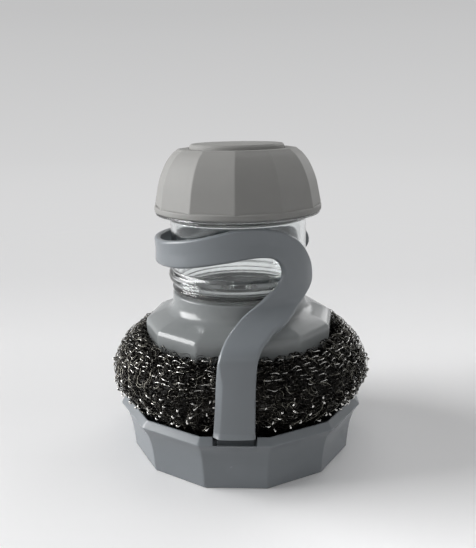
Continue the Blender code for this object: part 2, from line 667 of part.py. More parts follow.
def make_ball_mount():
    """The plate under the head with the hollow stem that the wire ball is threaded on."""
    profile = [(MOUNT_RADIUS, MOUNT_TOP), (MOUNT_RADIUS, MOUNT_Z), (STEM_RADIUS, MOUNT_Z),
               (STEM_RADIUS, STEM_Z), (STEM_BORE, STEM_Z), (STEM_BORE, MOUNT_Z),
               (NOZZLE_RADIUS + GAP, MOUNT_TOP)]
    mount = turned("ball_mount", profile, INNER_WHITE)
    holes = ring_of_rods("mount_holes", SCREW_COUNT, SCREW_CIRCLE, SCREW_RADIUS + GAP,
                         MOUNT_Z - OVERRUN, MOUNT_TOP + OVERRUN)
    cut(mount, holes)
    return mount


def make_mount_screw(number):
    """One of the screws that hold the mount's plate to the head's bosses."""
    turn = Matrix.Rotation(2 * math.pi * (number + 0.5) / SCREW_COUNT, 4, "Z")
    head_top = MOUNT_Z - GAP
    head_z = head_top - SCREW_HEAD_HEIGHT
    tip = MOUNT_TOP + GAP + SCREW_GRIP
    profile = [(0, tip), (SCREW_RADIUS, tip), (SCREW_RADIUS, head_top), (SCREW_HEAD_RADIUS, head_top),
               (SCREW_HEAD_RADIUS, head_z), (0, head_z)]
    screw = turned(f"mount_screw_{number + 1}", profile, STEEL, steps=SMALL_STEPS, closed=False)
    slot = block(f"screw_slot_{number + 1}",
                 (-SCREW_HEAD_RADIUS - OVERRUN, -SCREW_HEAD_RADIUS / 8, head_z - OVERRUN),
                 (SCREW_HEAD_RADIUS + OVERRUN, SCREW_HEAD_RADIUS / 8, head_z + SCREW_HEAD_HEIGHT / 4))
    cut(screw, slot)
    for thing in (screw, slot):
        thing.matrix_world = turn @ Matrix.Translation((SCREW_CIRCLE, 0, 0))
    return screw


def make_ball_retainer():
    """The flanged nut on the stem's foot that keeps the wire ball on."""
    hub_top = NUT_Z + NUT_FLANGE + NUT_HUB_HEIGHT
    flange_top = NUT_Z + NUT_FLANGE
    profile = [(NUT_HUB_RADIUS, hub_top), (NUT_HUB_RADIUS, flange_top), (NUT_RADIUS, flange_top),
               (NUT_RADIUS, NUT_Z), (STEM_BORE, NUT_Z), (STEM_BORE, flange_top), (NUT_BORE, flange_top),
               (NUT_BORE, hub_top)]
    return turned("ball_retainer", profile, INNER_WHITE)


def make_reservoir():
    """The clear bottle: mouth, flange, body, bead, waist, threaded spigot and outlet nozzle."""
    outer = [(MOUTH_RADIUS, MOUTH_TOP)]
    outer += ridges(MOUTH_RADIUS, FLANGE_TOP, MOUTH_TOP, MOUTH_THREAD_SHARES, THREAD_RISE, THREAD_WIDTH)
    flange = BODY_RADIUS + FLANGE_RISE
    outer += [(MOUTH_RADIUS, FLANGE_TOP), (flange, FLANGE_TOP), (flange, FLANGE_Z), (BODY_RADIUS, FLANGE_Z)]
    outer += [(BODY_RADIUS + BEAD_RISE * r, WAIST_TOP + BEAD_HEIGHT * z) for r, z in BEAD_SHARES]
    outer += ridges(WAIST_RADIUS, BOTTLE_SHOULDER, WAIST_TOP, (WAIST_RIDGE_SHARE,), WAIST_RIDGE,
                    THREAD_WIDTH)
    outer += [(WAIST_RADIUS, BOTTLE_SHOULDER), (SPIGOT_RADIUS, BOTTLE_SHOULDER)]
    outer += ridges(SPIGOT_RADIUS, SPIGOT_Z, BOTTLE_SHOULDER, SPIGOT_THREAD_SHARES, THREAD_RISE,
                    THREAD_WIDTH)
    outer += [(SPIGOT_RADIUS, SPIGOT_Z), (NOZZLE_RADIUS, SPIGOT_Z), (NOZZLE_RADIUS, NOZZLE_Z)]
    pocket = NOZZLE_Z + VALVE_POCKET
    floor = SPIGOT_Z + BOTTLE_WALL
    spigot_in = SPIGOT_RADIUS - BOTTLE_WALL
    waist_in = WAIST_RADIUS - BOTTLE_WALL
    body_in = BODY_RADIUS - BOTTLE_WALL
    inner = [(NOZZLE_BORE, NOZZLE_Z), (NOZZLE_BORE, pocket), (OUTLET_RADIUS, pocket),
             (OUTLET_RADIUS, floor), (spigot_in, floor), (spigot_in, BOTTLE_SHOULDER),
             (waist_in, BOTTLE_SHOULDER + BOTTLE_WALL), (waist_in, WAIST_TOP),
             (body_in, BEAD_TOP), (body_in, FLANGE_Z - BOTTLE_WALL), (MOUTH_BORE, FLANGE_TOP),
             (MOUTH_BORE, MOUTH_TOP)]
    return turned("reservoir", outer + inner, CLEAR)


def make_slit_valve():
    """The soft dome with a slit that lets soap out of the bottle when the button is pressed."""
    top = NOZZLE_Z + VALVE_POCKET - GAP
    under = top - VALVE_FLANGE
    outer = NOZZLE_BORE - GAP
    dome_z = under - VALVE_DOME_DROP
    profile = [(0, dome_z + VALVE_SKIN), (VALVE_DOME_RADIUS - VALVE_SKIN, under),
               (VALVE_DOME_RADIUS, top), (outer, top), (outer, under), (VALVE_DOME_RADIUS, under),
               (VALVE_DOME_RADIUS / 2, dome_z), (0, dome_z)]
    valve = turned("slit_valve", profile, SILICONE, steps=SMALL_STEPS, closed=False)
    half = SLIT_LENGTH / 2
    slit = block("valve_slit", (-half, -SLIT_WIDTH / 2, dome_z - OVERRUN),
                 (half, SLIT_WIDTH / 2, top + OVERRUN))
    cut(valve, slit)
    return valve


def make_valve_ring():
    """The ring pressed into the nozzle under the soft valve."""
    outer = NOZZLE_BORE - GAP
    inner = outer - VALVE_RING_WALL
    top = NOZZLE_Z + VALVE_RING_HEIGHT
    return turned("valve_ring", [(outer, top), (outer, NOZZLE_Z), (inner, NOZZLE_Z), (inner, top)],
                  INNER_WHITE, steps=SMALL_STEPS)


def make_cap_shell():
    """The twelve-facet cap with a round rim and the hole for the button."""
    facet_z = CAP_Z + CAP_RIM_HEIGHT
    drawn = [(between(CAP_SHOULDER_RADIUS, CAP_RADIUS, r), between(facet_z, CAP_TOP, z))
             for r, z in CAP_SHARES]
    outer = list(reversed(drawn))
    hole = BUTTON_RADIUS + GAP
    inner = [(CAP_RADIUS - CAP_WALL, CAP_Z + GAP)]
    inner += [(radius - CAP_WALL, min(height - CAP_WALL / 2, CAP_CEILING)) for radius, height in drawn[1:-2]]
    inner += [(CAP_SHOULDER_RADIUS - CAP_WALL / 4, CAP_CEILING), (hole, CAP_CEILING), (hole, CAP_TOP)]
    shell = turned("cap_shell", outer + [(CAP_RADIUS - GAP, CAP_Z + GAP)] + inner, CAP_GREY, steps=SIDES)
    shell.rotation_euler.z += CAP_TURN
    bore = (CAP_RADIUS - CAP_WALL) * FLAT_SHARE
    half_edge = CAP_RIM_HEIGHT / 4
    rim = [(CAP_RADIUS - half_edge, facet_z), (CAP_RADIUS, facet_z - half_edge),
           (CAP_RADIUS, CAP_Z + half_edge), (CAP_RADIUS - half_edge, CAP_Z), (bore, CAP_Z), (bore, facet_z)]
    join(shell, turned("cap_rim", rim, steps=ROUND_STEPS))
    hole_edge = turned("cap_hole", [(hole + GAP, CAP_TOP + OVERRUN), (hole + GAP, CAP_CEILING - OVERRUN),
                                    (0, CAP_CEILING - OVERRUN), (0, CAP_TOP + OVERRUN)], closed=False)
    cut(shell, hole_edge)
    return shell


def make_cap_liner():
    """The sleeve inside the cap that screws onto the bottle's mouth and carries the pump cup."""
    flange = (CAP_RADIUS - CAP_WALL) * FLAT_SHARE - GAP
    foot = CAP_Z + GAP
    hole = PUMP_RADIUS + GAP
    profile = [(LINER_RADIUS, LINER_TOP), (LINER_RADIUS, foot + LINER_FLANGE_HEIGHT),
               (flange, foot + LINER_FLANGE_HEIGHT), (flange, foot), (LINER_BORE, foot),
               (LINER_BORE, LINER_CEILING), (hole, LINER_CEILING), (hole, LINER_TOP)]
    return turned("cap_liner", profile, INNER_WHITE)


def make_cap_gasket():
    """The flat ring between the bottle's lip and the liner."""
    outer = MOUTH_RADIUS
    inner = outer - CAP_GASKET_WIDTH
    top = CAP_GASKET_Z + CAP_GASKET_THICKNESS
    return turned("cap_gasket", [(outer, top), (outer, CAP_GASKET_Z), (inner, CAP_GASKET_Z), (inner, top)],
                  SILICONE)


def make_pump_cup():
    """The cup under the button: its bore guides the piston and its floor holds the air valve."""
    flange = PUMP_RADIUS + PUMP_FLANGE_WIDTH
    stem = AIR_STEM_RADIUS + GAP
    profile = [(flange, PUMP_TOP), (flange, PUMP_SEAT), (PUMP_RADIUS, PUMP_SEAT), (PUMP_RADIUS, PUMP_Z),
               (stem, PUMP_Z), (stem, PUMP_FLOOR), (PUMP_BORE, PUMP_FLOOR), (PUMP_BORE, PUMP_TOP)]
    cup = turned("pump_cup", profile, INNER_WHITE)
    holes = ring_of_rods("air_holes", AIR_HOLE_COUNT, AIR_HOLE_CIRCLE, AIR_HOLE_RADIUS,
                         PUMP_Z - OVERRUN, PUMP_FLOOR + OVERRUN, steps=SIDES)
    cut(cup, holes)
    return cup


def make_air_valve():
    """The soft flap under the cup's air holes, held by its bulb."""
    disc_top = PUMP_Z - GAP
    bulb_z = PUMP_FLOOR + GAP
    bulb_top = bulb_z + AIR_BULB_HEIGHT
    profile = [(0, bulb_top), (AIR_BULB_RADIUS / 2, bulb_top), (AIR_BULB_RADIUS, bulb_z),
               (AIR_STEM_RADIUS, bulb_z), (AIR_STEM_RADIUS, disc_top), (AIR_DISC_RADIUS, disc_top),
               (AIR_DISC_RADIUS, disc_top - AIR_DISC_THICKNESS), (0, disc_top - AIR_DISC_THICKNESS)]
    return turned("air_valve", profile, SILICONE, steps=SMALL_STEPS, closed=False)


def ring_groove():
    """Low and high edge of the groove for the piston's ring."""
    low = BUTTON_Z + RING_HEIGHT / 2
    return low, low + RING_HEIGHT + 2 * RING_CLEARANCE


def make_press_button():
    """The round button: a disc through the cap, a flange under it and a hollow piston."""
    low, high = ring_groove()
    flange = BUTTON_RADIUS + BUTTON_FLANGE_WIDTH
    flange_z = BUTTON_FLANGE_Z
    groove = PISTON_RADIUS - RING_DEPTH
    edge = BUTTON_TOP - BUTTON_CROWN
    soft = BUTTON_CROWN * 2
    profile = [(0, BUTTON_TOP), (BUTTON_RADIUS / 2, BUTTON_TOP),
               (BUTTON_RADIUS - soft, edge), (BUTTON_RADIUS, edge - soft),
               (BUTTON_RADIUS, BUTTON_FLANGE_TOP), (flange, BUTTON_FLANGE_TOP), (flange, flange_z),
               (PISTON_RADIUS, flange_z), (PISTON_RADIUS, high), (groove, high), (groove, low),
               (PISTON_RADIUS, low), (PISTON_RADIUS, BUTTON_Z), (PISTON_BORE, BUTTON_Z),
               (PISTON_BORE, BUTTON_CEILING), (0, BUTTON_CEILING)]
    return turned("press_button", profile, CAP_GREY, closed=False)


def make_piston_ring():
    """The soft ring in the piston's groove."""
    low, high = ring_groove()
    outer = PUMP_BORE - RING_CLEARANCE
    inner = PISTON_RADIUS - RING_DEPTH + RING_CLEARANCE
    bottom = low + RING_CLEARANCE
    top = high - RING_CLEARANCE
    return turned("piston_ring", [(outer, top), (outer, bottom), (inner, bottom), (inner, top)], SILICONE)


def least_self_gap(points, wire, points_a_curl):
    """Least gap between one curl of a spring and the next, measured on its points."""
    least = min((points[i] - points[k]).length
                for i in range(len(points)) for k in range(i + points_a_curl // 2, len(points)))
    return least - 2 * wire


def make_return_spring():
    """The coil spring between the cup's floor and the button."""
    low = PUMP_FLOOR + GAP + SPRING_WIRE
    high = BUTTON_CEILING - GAP - SPRING_WIRE
    count = SPRING_CURLS * POINTS_A_CURL
    points = []
    for i in range(count + 1):
        turn = 2 * math.pi * i / POINTS_A_CURL
        points.append(Vector((SPRING_RADIUS * math.cos(turn), SPRING_RADIUS * math.sin(turn),
                              between(low, high, i / count))))
    least = least_self_gap(points, SPRING_WIRE, POINTS_A_CURL)
    print("return_spring least gap to itself (m):", round(least, 5))
    curve = bpy.data.curves.new("return_spring", "CURVE")
    curve.dimensions = "3D"
    curve.bevel_depth = SPRING_WIRE
    curve.bevel_resolution = 1
    curve.use_fill_caps = True
    spline = curve.splines.new("POLY")
    spline.points.add(len(points) - 1)
    for target, point in zip(spline.points, points):
        target.co = (*point, 1)
    return place("return_spring", curve, STEEL)


def build_pot_brush():
    clear_scene()
    make_base_tray()
    make_holder_arm()
    make_wire_ball()
    make_brush_head()
    make_head_gasket()
    make_ball_mount()
    for number in range(SCREW_COUNT):
        make_mount_screw(number)
    make_ball_retainer()
    make_reservoir()
    make_slit_valve()
    make_valve_ring()
    make_cap_shell()
    make_cap_liner()
    make_cap_gasket()
    make_pump_cup()
    make_air_valve()
    make_press_button()
    make_piston_ring()
    make_return_spring()


build_pot_brush()
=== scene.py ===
"""The looks of the pot brush: its finishes, its rounded shells and its knitted wire ball.

Metres, +Z up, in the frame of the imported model: the drip tray's arm stands at -Y.
"""
import json
import math

import bpy
import bmesh
import numpy as np
from mathutils import Matrix, Vector


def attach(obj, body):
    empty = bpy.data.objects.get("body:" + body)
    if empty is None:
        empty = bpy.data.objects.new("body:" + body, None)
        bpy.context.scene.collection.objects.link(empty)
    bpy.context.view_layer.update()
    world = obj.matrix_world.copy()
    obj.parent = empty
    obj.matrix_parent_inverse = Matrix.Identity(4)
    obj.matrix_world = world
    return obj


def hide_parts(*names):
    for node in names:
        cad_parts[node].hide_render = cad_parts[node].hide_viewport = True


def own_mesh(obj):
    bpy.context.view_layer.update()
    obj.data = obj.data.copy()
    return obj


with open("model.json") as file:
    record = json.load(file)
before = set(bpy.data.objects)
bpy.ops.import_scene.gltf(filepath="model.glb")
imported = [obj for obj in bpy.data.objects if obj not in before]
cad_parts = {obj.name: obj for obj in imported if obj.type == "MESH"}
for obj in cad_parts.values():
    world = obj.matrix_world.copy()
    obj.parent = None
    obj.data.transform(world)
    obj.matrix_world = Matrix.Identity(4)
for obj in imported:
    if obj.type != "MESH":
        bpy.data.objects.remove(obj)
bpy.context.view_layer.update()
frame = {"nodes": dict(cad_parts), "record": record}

# What the pieces share
SIDES = 12
CORNER_STEPS = 4
FLAT_STEPS = 5
FLAT_START = math.radians(0.35)
ROUND_STEPS = 128
FINE_STEPS = 96
SMALL_STEPS = 64
ARC_STEPS = 4
CURVE_STEPS = 6
BEVEL_STEPS = 3
HALF_SIDE = math.pi / SIDES
FLAT_SHARE = math.cos(HALF_SIDE)
GAP = 0.0003
SEAM = 0.00035
SOFT = 0.0003
FINE_SOFT = 0.0002
BROAD_SOFT = 0.0004
MERGE = 0.000001
TOUCH = 0.000005
TINY = 1e-9
SMOOTH_ANGLE = 33.0
STRAIGHT = math.radians(88)
SHORT_EDGE = 0.00002
CORNER_TAKES = 0.45
OVERRUN = 0.002

# Drip tray
TRAY_RADIUS = 0.0460
TRAY_FOOT_RADIUS = 0.0414
TRAY_HEIGHT = 0.0204
TRAY_WALL = 0.0021
TRAY_FLOOR = 0.0024
RIM_RUN = 0.0021
RIM_RISE = 0.0023
RIM_LAND = 0.0005
TRAY_BRIM = TRAY_HEIGHT - RIM_RISE
TRAY_CORNER_SHARE = 0.05
FLOOR_SOFT = 0.0012
BRIM_SOFT = 0.001
EDGE_SOFT = 0.0005
FOOT_SOFT = 0.0008
WALL_STEPS = 14
WALL_START = 0.0015
RIB_HEIGHT = 0.0024
RIB_WIDTH = 0.0018
RIB_COUNT = 6
RIB_INNER_RADIUS = 0.0180
RIB_OUTER_RADIUS = 0.0310
NOTCH_WIDTH = 0.0146
SLOT_LIP = 0.0006
SLOT_DEPTH = 0.0050
SOCKET_HALF = 0.0081
SOCKET_INNER = 0.03456
SOCKET_HEIGHT = 0.0155
SOCKET_STEPS = 8
POCKET_HALF = 0.0065
POCKET_INNER = 0.03616
POCKET_OUTER = 0.03896
POCKET_Z = 0.0097
TRAY_WALL_SHARES = ((0.0, 0.0), (0.10, 0.28), (0.20, 0.50), (0.37, 0.69), (0.62, 0.86), (1.0, 1.0))

# Arm
ARM_RADIUS = 0.0466
ARM_FOOT_Z = 0.0207
ARM_TOP = 0.0865
COLLAR_RADIUS = 0.0290
STRAP_THICKNESS = 0.0023
STRAP_HOLLOW = 0.0005
COLLAR_SWELL = 0.0017
SWELL_START = 20.0
SWELL_ARC = 220.0
BEND_START_SHARE = 0.395
BEND_END_SHARE = 0.665
BEND_Z = 0.0459
TONGUE_WIDTH = 0.0124
TONGUE_OUTER = 0.03866
TONGUE_INNER = 0.03646
TONGUE_TIP_HEIGHT = 0.0100
WEB_THICKNESS = 0.0026
STRAP_STEPS = 12
STRAP_ACROSS = 12
STRAP_SMOOTH = 40.0
STRAP_SOFT = 0.0004
FOOT_RISE = 0.0014
FOOT_SHARE = 0.028
FOOT_FLARE = -0.0009
# How the strap's edges slope back: the left one widely on the upright part, narrowly on the collar
WIDE_BAND = 0.0024
BAND_DEPTH = 0.0012
THIN_BAND = 0.0007
FAR_BAND = 0.0006
BAND_END = 0.29
BAND_FADE = 0.14
BACK_SHARE = 0.6
STRAP_NARROW = 6 * THIN_BAND
STRAP_TAKES = 0.4
STRAP_ARC = 3
STRAP_SHARES = (
    (-8.6, 0.000, 8.6, 0.000), (-8.3, 0.045, 8.6, 0.045), (-7.6, 0.160, 8.8, 0.160),
    (-6.9, 0.300, 9.1, 0.300), (-5.9, 0.425, 9.9, 0.417), (-4.3, 0.497, 12.2, 0.474),
    (-1.0, 0.541, 16.0, 0.503), (4.5, 0.582, 20.5, 0.527), (11.5, 0.613, 28.0, 0.546),
    (18.5, 0.639, 37.0, 0.573), (25.3, 0.671, 45.5, 0.599), (30.5, 0.702, 54.5, 0.622),
    (33.7, 0.735, 63.5, 0.655), (34.7, 0.766, 67.6, 0.700), (33.4, 0.800, 65.6, 0.775),
    (30.0, 0.829, 57.5, 0.858), (25.0, 0.847, 46.5, 0.929), (17.0, 0.853, 33.0, 0.976),
    (8.5, 0.849, 18.5, 0.998), (-1.0, 0.836, 4.0, 0.999), (-11.5, 0.823, -9.6, 0.977),
    (-24.0, 0.805, -23.7, 0.951), (-40.0, 0.786, -40.0, 0.930), (-62.0, 0.773, -62.0, 0.910),
    (-90.0, 0.766, -90.0, 0.906), (-130.0, 0.763, -130.0, 0.904), (-175.0, 0.762, -175.0, 0.903),
    (-205.0, 0.763, -205.0, 0.902), (-231.0, 0.765, -231.0, 0.900), (-240.6, 0.772, -240.6, 0.893),
    (-245.0, 0.792, -245.0, 0.873), (-247.0, 0.820, -247.0, 0.845),
)

# Brush head
HEAD_TURN = math.radians(-6.8)
HEAD_NECK_RADIUS = 0.0245
HEAD_TOP = 0.0594
HEAD_WALL = 0.0020
HEAD_UNDERSIDE = 0.0506
SOCKET_FLOOR = 0.0526
HEAD_BORE = 0.0221
NOZZLE_HOLE = 0.0069
BOSS_HEIGHT = 0.0043
BOSS_RADIUS = 0.0030
BOSS_STEPS = 32
SCREW_COUNT = 3
SCREW_CIRCLE = 0.0175
SCREW_HOLE = 0.0015
SCREW_HOLE_DEPTH = 0.0029
SKIRT_CORNER_SHARE = 0.09
SKIRT_BEND_Z = 0.0490
SKIRT_BEND_ROW = 5
SKIRT_WALL_ROWS = 3
SKIRT_WALL_STEPS = 4
SKIRT_ROWS = ((0.0336, 0.0389, 0.0), (0.0349, 0.0430, 0.0), (0.0352, 0.0470, 0.0), (0.0350, 0.0485, 0.0),
              (0.0343, 0.0496, 0.03), (0.0323, 0.0507, 0.12), (0.0296, 0.0517, 0.40), (0.0271, 0.0526, 0.74),
              (0.0256, 0.0538, 0.95), (0.0249, 0.0556, 1.0), (0.02455, 0.0590, 1.0))

# Cap
CAP_TURN = math.radians(-13.6)
CAP_RADIUS = 0.0301
CAP_SHOULDER_RADIUS = 0.0211
CAP_Z = 0.0891
CAP_RIM_HEIGHT = 0.0023
CAP_TOP = 0.1109
CAP_CEILING = 0.1089
CAP_WALL = 0.0020
CAP_CORNER_SHARE = 0.06
CAP_SHOULDER_SOFT = 0.0006
BUTTON_HOLE = 0.0171
BOTTLE_SOFT = 0.0008
LIP_RADIUS = 0.0297
LIP_BORE = 0.0268
LIP_Z = 0.0883
CAP_SHARES = ((1.0, 0.0), (0.932, 0.162), (0.797, 0.439), (0.560, 0.706), (0.288, 0.886), (0.045, 0.980),
              (0.0, 1.0))

# Wire ball
BALL_RADIUS = 0.0473
BALL_Z = 0.0051
BALL_TOP = 0.0451
BALL_RIM_Z = 0.0207
BALL_RIM_RADIUS = 0.04146
BALL_FOOT_RADIUS = 0.0240
BALL_LIP_RADIUS = 0.0358
BALL_GROOVE_Z = 0.0383
BALL_DENT = 0.0430
BALL_LIP_STEPS = ((0.0012, 0.0), (0.0006, 0.6))
# Each part of the ball's curve: its radii, its heights, and the shares of both that it runs through
BALL_PARTS = (
    (BALL_LIP_RADIUS, BALL_RADIUS, BALL_RIM_Z, BALL_TOP,
     ((0, 0.975), (0.165, 1), (0.413, 0.93), (0.678, 0.807), (0.876, 0.652), (0.975, 0.525))),
    (BALL_RIM_RADIUS, BALL_RADIUS, BALL_RIM_Z, BALL_TOP, ((1, 0.443), (1, 0.348), (0.88, 0.275), (0.572, 0.172))),
    (BALL_FOOT_RADIUS, BALL_RIM_RADIUS, BALL_Z, BALL_RIM_Z,
     ((1, 1), (0.802, 0.724), (0.458, 0.301), (0.172, 0.083), (0, 0))),
)
BALL_STEPS = 12
BALL_POINTS = 400
RUN_MARGIN = 0.0004
PROBE = 0.001
# Where the strap presses the ball in, and how that fades; then the web and the socket as top, half width, reach
DENT_Z = 0.0175
DENT_HALF = 0.0094
DENT_FADE = 0.0060
DENT_FALL = 0.0034
DENT_BLOCKS = ((0.0242, 0.0072, 0.0356), (0.0166, 0.0090, 0.0337))

# Knitting. The pairs are a middle value and how much it wanders, and STRAY_FROM is where loops start to stray.
KNIT_STITCHES = 72
KNIT_PITCH = 0.0018
# painted shade: how far down the ball the knit keeps its flecked look; further down it is coloured darker
KNIT_SHADE_FROM = 0.0355
KNIT_WIDTH = 0.00040
KNIT_THICK = 0.00008
KNIT_SWING = (0.95, 0.35)
KNIT_SWAY = (0.24, 0.10)
KNIT_DEPTH = 0.00055
DEPTH_SHARE = (1, 0.8)
KNIT_PLEATS = 44
PLEAT_HEIGHT = 0.0011
PLEAT_DRIFT = 2.2
BROAD_LUMPS = 0.0007
SMALL_LUMPS = 0.0005
STRAY_FROM = 0.55
KNIT_STRAY = 0.0028
KNIT_WANDER = 0.25
KNIT_JITTER = 0.12
KNIT_TWIST = (0.9, 1.3)
KNIT_SHIFT = 0.004
CALM_FROM = 0.62
CALM_RUN = 0.1
# The soft fields that steer it, as cells round the ball and bands down it
STITCH_FIELD = (KNIT_STITCHES, 30)
FINE_FIELD = (KNIT_STITCHES * 2, 40)
PLEAT_FIELD = (9, 6)
BROAD_FIELD = (26, 9)
SMALL_FIELD = (60, 20)
WANDER_FIELD = (70, 24)
RIBBON = ((0.5, 0.5), (-0.5, 0.5), (-0.5, -0.5), (0.5, -0.5))
RIBBON_UNDER = ((0.5, 0.0), (-0.5, 0.0), (0.0, 1.0))
# The layers: the lift, the seed, the section, the points in a stitch and the wildness
SHOWN_LAYER = (-0.0012, 5, RIBBON, 16, 0.6)
INNER_LAYER = (-0.0026, 11, RIBBON_UNDER, 12, 1.2)
# Which share of its place in the UV map a face, a row and an end cap fill
UV_LOW, UV_HIGH, UV_ROW, UV_END = 0.1, 0.9, 0.9, 0.8

STRAND = ((0.5, 0.0), (0.0, 0.5), (-0.5, 0.0), (0.0, -0.5))
STRAND_POINTS = 8
STRAND_LANES = 24
STRAND_MIDDLE = 0.33
STRAND_ARCH = 1.5
STRAND_TIP = 0.96
STRAND_FLAT = 0.8
STRAND_SHAKE = 0.0016
STRAND_SEED = 23
# painted shade: the range for keeping a curl, which keeps fewer on the arm's side
CURL_CHANCE = (0.45, 1.2)
# Painted glints, strands in lighter steel than the knit, in the order of the random draws: (name, finish,
# thickness), (first row, last row, step, spacing, share kept, shake), then the ranges of length, tilt, bend and
# lift
STRANDS = (
    (("knit_flats", "lit_ribbon", 0.00018), (0.0095, 0.0200, 0.0017, 0.0049, 0.70, 0.22),
     ((0.0018, 0.0038), (-0.2, 0.2), (-0.25, 0.25), (-0.0003, 0.0005))),
    (("knit_turns", "lit_ribbon", 0.00045), (0.0245, 0.0355, 0.0021, 0.0054, 0.60, 0.14),
     ((0.0010, 0.0016), (-1.5, 1.5), (-0.4, 0.4), (0.0, 0.0007))),
    (("knit_curls", "ribbon_curls", 0.00011), (0.0070, 0.0350, 0.0011, 0.0032, 0.60, 0.9),
     ((0.0022, 0.0060), (-1.5, 1.5), (-0.9, 0.9), (-0.0006, 0.0007))),
)

# The ball's core: how deep it lies, where its outer face ends, and its hollow up from the foot
CORE_DEPTH = 0.0036
CORE_SKIP = 8
CORE_STEPS = 160
CORE_EDGE = 0.036
CORE_LOW = 0.02
CORE_GROOVE = ((0.0295, 0.0375), (0.0355, 0.0380))
CORE_HOLLOW = ((BALL_FOOT_RADIUS, BALL_Z + 0.0006), (0.0156, BALL_Z + 0.0006), (0.0156, 0.0142), (0.0109, 0.0142),
               (0.0109, 0.0418), (0.0292, 0.0418))
CORE_LUMPS = 0.0006
CORE_FIELD = (90, 26)
CORE_SEED = 71

# Camera
CAMERA_TURN = math.radians(3.157)
CAMERA_SIDE = math.radians(3.229)
CAMERA_PITCH = math.radians(14.198)
CAMERA_ROLL = math.radians(-1.0)
CAMERA_DISTANCE = 0.23155
CAMERA_HEIGHT = 0.12317
CAMERA_SHIFT = -0.00065
CAMERA_LENS = 42.04
CAMERA_SENSOR = 36.0

# Stage and light. The paper's colour goes with the distance behind PAPER_FRONT, graded as painted light. Further
# off, what it shows by itself, a painted glow, goes with the distance along the floor and up the wall.
STAGE_FLOOR = 1.52
STAGE_BEND = 0.80
STAGE_TOP = 2.4
STAGE_REACH = 3.0
STAGE_STEPS = 16
PAPER_SHADES = ((0.085, 0.95), (0.13, 0.83), (0.17, 0.79), (0.25, 0.79), (0.30, 0.75), (0.40, 0.69), (0.65, 0.66))
PAPER_FRONT = -0.15
FAR_SHADES = ((0.0, 0.76), (0.16, 0.75), (0.24, 0.72), (0.35, 0.70), (0.51, 0.69), (0.81, 0.68), (1.49, 0.655),
              (1.92, 0.63), (2.16, 0.61), (2.36, 0.59), (2.58, 0.565), (2.73, 0.54))
FAR_START = 0.14
FAR_FULL = 0.50
PAPER_BOUNCE = 0.30
LAMP_TARGET = (0, 0, 0.05)
# Each lamp's spot, size and power, and whether reflections show it
LAMPS = {
    "window": ((-1.62, 0.05, 0.60), (1.2, 1.1), 41.0, True),
    "ceiling": ((0.16, 0.56, 2.0), (1.6, 1.6), 10.5, False),
    "far_wall": ((0.95, 1.30, 0.70), (0.95, 0.95), 6.0, True),
    "room_side": ((0.10, -1.28, 1.18), (1.2, 1.2), 4.6, False),
}
ROOM_COLOUR = (0.95, 0.97, 1.0, 1.0)
ROOM_STRENGTH = 0.035

# Each finish: two near colours, the roughness, the grain's height, the scale of its clouds, how metallic it is,
# how clear, and its specular level
FINISHES = {
    "grey_plastic": ((0.205, 0.223, 0.239), (0.210, 0.228, 0.245), 0.27, 0.000006),
    "head_plastic": ((0.220, 0.233, 0.235), (0.225, 0.238, 0.240), 0.19, 0.000004),
    "cap_plastic": ((0.280, 0.278, 0.269), (0.291, 0.288, 0.279), 0.60, 0.00001, 160.0, 0.0, 0.0, 0.3),
    "clear_plastic": ((0.95, 0.97, 0.97), (0.96, 0.98, 0.98), 0.02, 0.000002, 160.0, 0.0, 1.0),
    "inner_plastic": ((0.70, 0.70, 0.68), (0.73, 0.73, 0.71), 0.42),
    "silicone": ((0.76, 0.76, 0.74), (0.80, 0.80, 0.78), 0.55),
    "screw_steel": ((0.56, 0.56, 0.56), (0.63, 0.63, 0.62), 0.28, 0.00003, 160.0, 1.0),
    "spring_steel": ((0.56, 0.56, 0.56), (0.63, 0.63, 0.62), 0.25, 0.00003, 160.0, 1.0),
    # painted shade: the wire ball's steel is coloured near black for the shade in the tangle; make_looks adds
    # brighter flecks as painted glints
    "wire_ball": ((0.010, 0.009, 0.008), (0.030, 0.028, 0.024), 0.18, 0.00001, 850.0, 1.0),
    # painted shade: a darker copy of the ribbon's steel without flecks, for the knit low on the ball and the inner
    # layer
    "shaded_ribbon": ((0.012, 0.011, 0.010), (0.03, 0.028, 0.024), 0.3, 0.00001, 90.0, 1.0),
    # painted highlight: a bright copy of the ribbon's steel for the strands that stand in for glints; ribbon_curls
    # below is a mid-tone copy
    "lit_ribbon": ((0.48, 0.47, 0.45), (0.74, 0.73, 0.70), 0.2, 0.00001, 400.0, 1.0),
    "ribbon_curls": ((0.05, 0.047, 0.036), (0.31, 0.30, 0.26), 0.25, 0.00001, 300.0, 1.0),
    # painted shade: the core is coloured near black, a dark mass standing in for the shaded depths of the tangle
    "painted_shade_core": ((0.012, 0.011, 0.010), (0.03, 0.028, 0.025), 0.5, 0.0003, 900.0),
}
SHEEN_SHARE = 0.03
GRAIN_SCALE = 5200.0
PLASTIC_IOR = 1.49

LOOKS = {}


def between(start, end, share):
    return start + (end - start) * share


def clamped(share):
    return min(max(share, 0), 1)


def eased(share):
    """A share from 0 to 1 with a soft start and a soft end."""
    return share * share * (3 - 2 * share)


def unit(vectors):
    """Vectors of length one, along the last axis."""
    return vectors / np.maximum(np.linalg.norm(vectors, axis=-1)[..., None], TINY)


def placed(name, data):
    """A new object in the scene."""
    thing = bpy.data.objects.new(name, data)
    bpy.context.scene.collection.objects.link(thing)
    return thing


